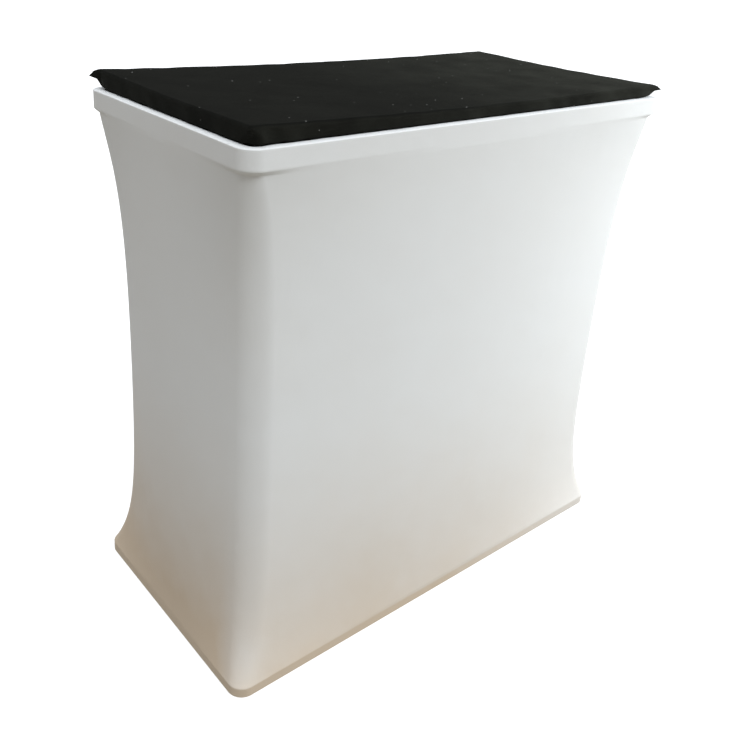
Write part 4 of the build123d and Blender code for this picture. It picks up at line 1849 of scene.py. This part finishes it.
    def unsettle(self, loops: Array, drops: Array, insets: Array) -> Array:
        """Moves the cover off its even form: wavering edges, points, a crumpled one and dents.

        Args:
            loops: Even loops.
            drops: Drop of each loop.
            insets: Inset of each loop.

        Returns:
            The loops with the cloth's own unevenness.
        """
        away = outward(loops)
        shares = every_share(loops)
        drop, inset = drops[:, None], insets[:, None]
        tall = self.top - self.foot
        on_edge = np.exp(-inset / 0.010) * np.exp(-drop / 0.012)
        edge = Ripple(seed=3, fewest=9, most=60, kinds=14).at(shares)
        loops = loops + away * (edge * on_edge * self.edge_waver)[..., None]
        loops[..., 2] += Ripple(seed=21, fewest=7, most=44, kinds=12).at(shares) * on_edge * self.edge_waver
        on_side = np.sin(np.clip(drop / tall, 0, 1) * pi) * (inset < self.bevel + HAIR)
        creases = Ripple(seed=8, fewest=12, most=70, kinds=14).at(shares + 0.05 * drop)
        loops += away * (creases * on_side * self.side_waver)[..., None]
        loops[..., 2] += self.wavy_lap(loops, shares, drop, inset)
        flat = loops.reshape(-1, 3) / self.top_wave
        clouds = np.array([noise.noise(Vector(point)) for point in flat]).reshape(shares.shape)
        loops[..., 2] += clouds * self.top_waver * (drop < self.edge_round) * eased(inset, 0, 0.02)
        for ear in self.ears:
            loops += self.point(loops, drop, inset, ear)
        return loops + away * self.crumple(loops, drop, inset)[..., None]

    def wavy_lap(self, loops: Array, shares: Array, drop: Array,
                 inset: Array) -> Array:
        """How far the lap's lower edge lifts off the lip, most by the crumpled corner.

        Args:
            loops: Loops of points.
            shares: How far round its loop each point is.
            drop: Drop of each loop.
            inset: Inset of each loop.

        Returns:
            The heights.
        """
        on_lap = np.exp(-(((drop - self.lap) / self.lap_band) ** 2)) * (inset < self.tray_inset)
        from_x, from_y = self.from_corner(loops, self.crumple_corner)
        lift = self.lap_waver + self.lap_crumple * np.exp(-np.hypot(from_x, from_y) / self.lap_fade)
        return (Ripple(seed=29, fewest=60, most=150, kinds=12).at(shares) + 1).clip(0, 2) / 2 * lift * on_lap

    def point(self, loops: Array, drop: Array, inset: Array, ear: Ear) -> Array:
        """How a sewn point draws the cover out at its corner.

        Args:
            loops: Loops of points.
            drop: Drop of each loop.
            inset: Inset of each loop.
            ear: The point.

        Returns:
            A move for each point of the loops.
        """
        beside = np.abs(self.corner_distance(loops, ear.signs))
        on_corner = (ear.signs[0] * loops[..., 0] > 0) & (ear.signs[1] * loops[..., 1] > 0)
        pinch = np.clip(1 - beside / self.ear_half, 0, 1) ** 1.4 * on_corner
        upper = np.clip(drop / self.tip_drop, 0, 1) ** 0.9
        tall, deep, tip = self.top - self.foot, self.ear_depth, self.tip_drop
        lower = self.ear_web * np.clip((tall - drop) / (tall - tip), 0, 1)
        lower += (1 - self.ear_web) * np.clip((deep - drop) / (deep - tip), 0, 1)
        out = np.where(drop < tip, 0.06 + 0.94 * upper, lower) * np.exp(-np.maximum(inset, 0) / 0.02)
        push = np.array([ear.signs[0] * ear.reach[0], ear.signs[1] * ear.reach[1], 0])
        return (pinch * out * (drop < self.lap + HAIR))[..., None] * push

    def crumple(self, loops: Array, drop: Array, inset: Array) -> Array:
        """Height of the point that is folded back on the front, and the dimple beside it.

        Args:
            loops: Loops of points.
            drop: Drop of each loop.
            inset: Inset of each loop.

        Returns:
            The heights.
        """
        along = self.corner_distance(loops, self.crumple_corner)
        sign_x, sign_y = self.crumple_corner
        at_corner = (sign_x * loops[..., 0] > 0) & (sign_y * loops[..., 1] > 0)
        height = np.zeros(along.shape)
        lean = 0.35 * (drop - self.crumple_drop)
        below = 0.8 * (drop - self.crumple_drop)
        bump = np.hypot(along - self.crumple_along - lean, below) / self.crumple_size
        height += self.crumple_height * np.clip(1 - bump**2, 0, 1) ** 1.7
        dent = np.hypot(along - self.dimple_along, drop - self.dimple_drop) / self.dimple_size
        height -= self.dimple_depth * np.exp(-(dent**2))
        return height * at_corner * (inset < self.bevel + HAIR) * (drop < self.lap + HAIR)

    def shell(self, name: str, rings: Rings, material: Material,
              uneven: bool, still: float) -> Piece:
        """Skin over the lid's loops, closed across the middle of the top.

        Args:
            name: The object's name.
            rings: Loops with their drops and insets.
            material: Its material.
            uneven: Whether it has the cloth's unevenness.
            still: Level up to which the warp leaves it alone.

        Returns:
            The object.
        """
        loops = np.stack([self.columns.trace(band) for band, _, _ in rings])
        drops = np.array([drop for _, drop, _ in rings])
        insets = np.array([inset for _, _, inset in rings])
        if uneven:
            loops = self.unsettle(loops, drops, insets)
        loops = self.warp(loops, still, self.cover_bend if uneven else self.core_bend)
        if uneven:
            loops = self.gathered(loops, drops, insets)
        piece = loft(name, loops, material)
        weld(piece, self.half.x - self.fine_field, self.half.y - self.fine_field, self.weld_reach)
        return piece

    def gathered(self, loops: Array, drops: Array, insets: Array) -> Array:
        """Puckers the cloth under the board, more and more towards the elastic.

        Args:
            loops: The loops.
            drops: Drop of each loop.
            insets: Inset of each loop.

        Returns:
            The puckered loops.
        """
        beneath = drops > self.top - self.foot - self.foot_round
        under = (beneath * eased(insets, self.bevel + 0.004, self.bevel + self.hem))[:, None]
        shares = every_share(loops)
        pleats = Ripple(seed=17, fewest=110, most=190).at(shares)
        loops[..., 2] += (pleats + 1.6).clip(0, 3) / 2 * self.gather * under
        return loops

    def cloth_cover(self) -> Piece:
        """Builds the cover.

        Returns:
            The cover.
        """
        rings = self.sections(lapped=True)
        rings += self.underside(rings)
        nap = CHARCOAL_LOOP.material()
        cover = self.shell("lid_cloth", rings, nap, uneven=True, still=self.top - self.lap)
        thicken(cover, self.cloth)
        return settle(cover, Body.LID, "lid_fabric", "lid_cover")

    def core(self) -> Piece:
        """Builds the warped board inside the cover.

        Returns:
            The board.
        """
        foot = self.foot + 0.0026
        rings = self.sections(taken_in=self.core_gap, foot=foot)
        last, drop, inset = rings[-1]
        for share in np.linspace(0, 1, 8)[1:]:
            deeper = share * (last.half_y - self.seam)
            corner = max(last.radius - deeper, 0.8 * self.seam)
            rings.append((last.shrunk(foot, deeper, corner), drop, inset))
        board = self.shell("lid_core", rings, FIBREBOARD.material(), uneven=False, still=foot)
        return settle(board, Body.LID, "board", "lid_board")

    def build(self) -> None:
        """Builds and dresses the lid."""
        cover = self.cloth_cover()
        core = self.core()
        repaint(["lid_elastic"], BLACK_ELASTIC.material())


@dataclass
class Carcass:
    """Everything stiff under the cloth: boards, lip, posts, sockets, bolts, shelf and pads.

    Attributes:
        corners: Ends of the names of what stands at each corner.
    """

    corners: tuple[str, ...] = ("front_left", "front_right", "back_left", "back_right")

    def each(self, stem: str) -> list[str]:
        """Names of the four nodes that share a stem."""
        return [f"{stem}_{corner}" for corner in self.corners]

    def build(self) -> None:
        """Dresses the stiff pieces."""
        repaint(["base_board", "shelf"], FIBREBOARD.material())
        repaint(["top_board"], DARK_FACE.material())
        repaint([f"lip_rail_{side}" for side in ("front", "back", "left", "right")], LIP_PAINT.material())
        repaint(self.each("lower_post") + self.each("upper_post"), POST_METAL.material())
        plastic = SOCKET_PLASTIC.material()
        repaint(self.each("base_socket") + self.each("top_socket") + self.each("post_joiner"), plastic)
        repaint(["base_socket_bolts", "top_socket_bolts"], BOLT_METAL.material())
        repaint(["base_glides"], GLIDE_RUBBER.material())


@dataclass
class Studio:
    """Pale floor, soft light and the camera.

    Attributes:
        floor_radius: Radius of the floor.
        floor_rings: How many rings it has.
        floor_spokes: How many sides a ring has.
        floor_glow: Strength of the floor's own light.
        backdrop_height: Height of the wall behind it.
        camera_place: Where the camera is.
        heading: How far it is turned to the right of plus Y, in degrees.
        dip: How far it looks down, in degrees.
        roll: How far it is tilted, in degrees.
        focal_pixels: Focal length in pixels of the photograph.
        image_side: Side of the photograph in pixels.
        axis_pixels: Where the camera's axis meets the photograph, in pixels.
        sensor: Width of the sensor in millimetres.
        daylight: Colour of the lamps.
    """

    floor_radius: float = 40.0
    floor_rings: int = 24
    floor_spokes: int = 96
    floor_glow: float = 0.62
    backdrop_height: float = 70.0
    camera_place: Triple = (-1.1114, -1.1809, 1.2601)
    heading: float = 40.216
    dip: float = 20.999
    roll: float = 3.434
    focal_pixels: float = 855.18
    image_side: float = 750.0
    axis_pixels: Pair = (340.52, 259.04)
    sensor: float = 36.0
    daylight: Triple = (0.94, 0.985, 1.0)

    def floor(self) -> None:
        """Builds the floor and the wall behind it."""
        recipe = Recipe("pale_floor")
        place = recipe.chart(Chart.OBJECT)
        clouds = recipe.noise(place, 0.8, 4)
        colour = recipe.tint(recipe.remap(clouds, 0.3, 0.7), (0.60, 0.60, 0.60), (0.585, 0.585, 0.585))
        material = recipe.dress(base_color=colour, roughness=0.9, specular_ior_level=0.1,
                                emission_color=(1.0, 1.0, 1.0), emission_strength=self.floor_glow)
        radii = self.floor_radius * (np.arange(1, self.floor_rings + 1) / self.floor_rings) ** 3
        turns = np.arange(self.floor_spokes) * tau / self.floor_spokes
        circle = np.column_stack([np.cos(turns), np.sin(turns), 0 * turns])
        rings = [radius * circle for radius in radii]
        loops = np.stack(rings[::-1])
        ground = loft("studio_floor", loops, material)
        ground.visible_diffuse = False
        inner = add_mesh("studio_floor_middle", rings[0], [tuple(range(self.floor_spokes))], material)
        inner.visible_diffuse = False
        backdrop = self.backdrop(rings[-1])

    def backdrop(self, foot: Array) -> Piece:
        """Pale wall behind the floor's edge, which is seen but throws no light or shade.

        Args:
            foot: The floor's outermost ring.

        Returns:
            The wall.
        """
        recipe = Recipe("pale_backdrop")
        clouds = recipe.noise(recipe.chart(Chart.OBJECT), 20.0, 2)
        material = recipe.dress(base_color=(0.0, 0.0, 0.0), roughness=1.0, specular_ior_level=0.0,
                                emission_color=recipe.tint(clouds, (1.0, 1.0, 1.0), (0.985, 0.985, 0.985)),
                                emission_strength=1.02)
        material.cycles.emission_sampling = "NONE"
        heights = np.linspace(self.backdrop_height, 0, 8)
        loops = np.stack([foot + np.array([0, 0, height]) for height in heights])
        wall = loft("studio_backdrop", loops, material)
        wall.visible_diffuse = wall.visible_glossy = wall.visible_transmission = wall.visible_shadow = False
        return wall

    def sky(self) -> None:
        """Soft light from all round: cool from above, dim at the horizon and warm off the floor."""
        world = bpy.data.worlds.new("studio_sky")
        bpy.context.scene.world = world
        world.use_nodes = True
        tree = world.node_tree
        tree.nodes.clear()
        kinds = ("TexCoord", "SeparateXYZ", "MapRange", "ValToRGB", "Background", "OutputWorld")
        way, split, shift, ramp, glow, output = (tree.nodes.new(f"ShaderNode{kind}") for kind in kinds)
        shift.inputs["From Min"].default_value = -1
        brightest = 1.8
        glow.inputs["Strength"].default_value = brightest
        steps = ((way, "Generated", split, 0), (split, "Z", shift, "Value"), (shift, "Result", ramp, "Fac"),
                 (ramp, "Color", glow, "Color"), (glow, "Background", output, "Surface"))
        for source, result, node, entry in steps:
            tree.links.new(source.outputs[result], node.inputs[entry])
        marks = ((0.0, (0.38, 0.365, 0.32)), (0.42, (0.38, 0.365, 0.32)), (0.47, (0.38, 0.33, 0.26)),
                 (0.54, (0.38, 0.33, 0.26)), (0.61, (0.27, 0.27, 0.27)), (0.71, (0.27, 0.27, 0.27)),
                 (0.86, (0.88, 0.93, 0.98)), (0.93, (1.7, 1.75, 1.8)))
        ramp.color_ramp.elements.remove(ramp.color_ramp.elements[1])
        ramp.color_ramp.elements[0].position = marks[0][0]
        ramp.color_ramp.elements[0].color = (*(part / brightest for part in marks[0][1]), 1)
        for place, colour in marks[1:]:
            ramp.color_ramp.elements.new(place).color = (*(part / brightest for part in colour), 1)

    def sun(self) -> None:
        """Soft key light from high in front."""
        self.lamp("soft_key", "SUN", 1.40, (0.0, 0.0, 0.0), (0.0, 0.75, -0.9), angle=radians(25))

    def panel(self) -> None:
        """Large soft panel at the right of the front, which brightens that end."""
        self.lamp("front_panel", "AREA", 13, (1.18, -0.95, 0.95), (0.95, -0.25, 0.6),
                  shape="RECTANGLE", size=0.6, size_y=1.5)

    def lamp(self, name: str, kind: str, energy: float, place: Triple, aim: Triple,
             **settings: object) -> None:
        """Adds a light of the studio's daylight colour.

        Args:
            name: The light's name.
            kind: Type name of the light.
            energy: Its strength.
            place: Where it stands.
            aim: A place that it points to.
            **settings: Its other values.
        """
        data = bpy.data.lights.new(name, kind)
        for key, value in {"energy": energy, "color": self.daylight, **settings}.items():
            setattr(data, key, value)
        light = place_object(name, data)
        light.location = place
        light.rotation_euler = (Vector(aim) - Vector(place)).to_track_quat("-Z", "Y").to_euler()

    def camera(self) -> None:
        """Sets the camera up at the photograph's viewing angle."""
        lens = bpy.data.cameras.new("camera")
        lens.sensor_width = self.sensor
        lens.lens = self.focal_pixels / self.image_side * self.sensor
        lens.shift_x = 0.5 - self.axis_pixels[0] / self.image_side
        lens.shift_y = self.axis_pixels[1] / self.image_side - 0.5
        lens.clip_end = 200
        eye = place_object("camera", lens)
        turn = Matrix.Rotation(radians(-self.heading), 4, "Z")
        turn = turn @ Matrix.Rotation(radians(90 - self.dip), 4, "X")
        turn = turn @ Matrix.Rotation(radians(self.roll), 4, "Z")
        eye.matrix_world = Matrix.Translation(self.camera_place) @ turn
        bpy.context.scene.camera = eye

    def build(self) -> None:
        """Sets up the floor, the light, the camera and plain colour handling."""
        self.floor()
        self.sky()
        self.sun()
        self.panel()
        self.camera()
        bpy.context.scene.view_settings.view_transform = "Standard"
        bpy.context.scene.view_settings.look = "None"


def main() -> None:
    """Builds the counter's pieces in order, then the studio."""
    logging.basicConfig(level=logging.INFO, format="%(name)s: %(message)s")
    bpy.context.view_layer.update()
    for part in (StretchSleeve(), BackZip(), CoveredLid(), Carcass(), Studio()):
        part.build()
        log.info("%s finished", type(part).__name__)


if __name__ == "__main__":
    main()
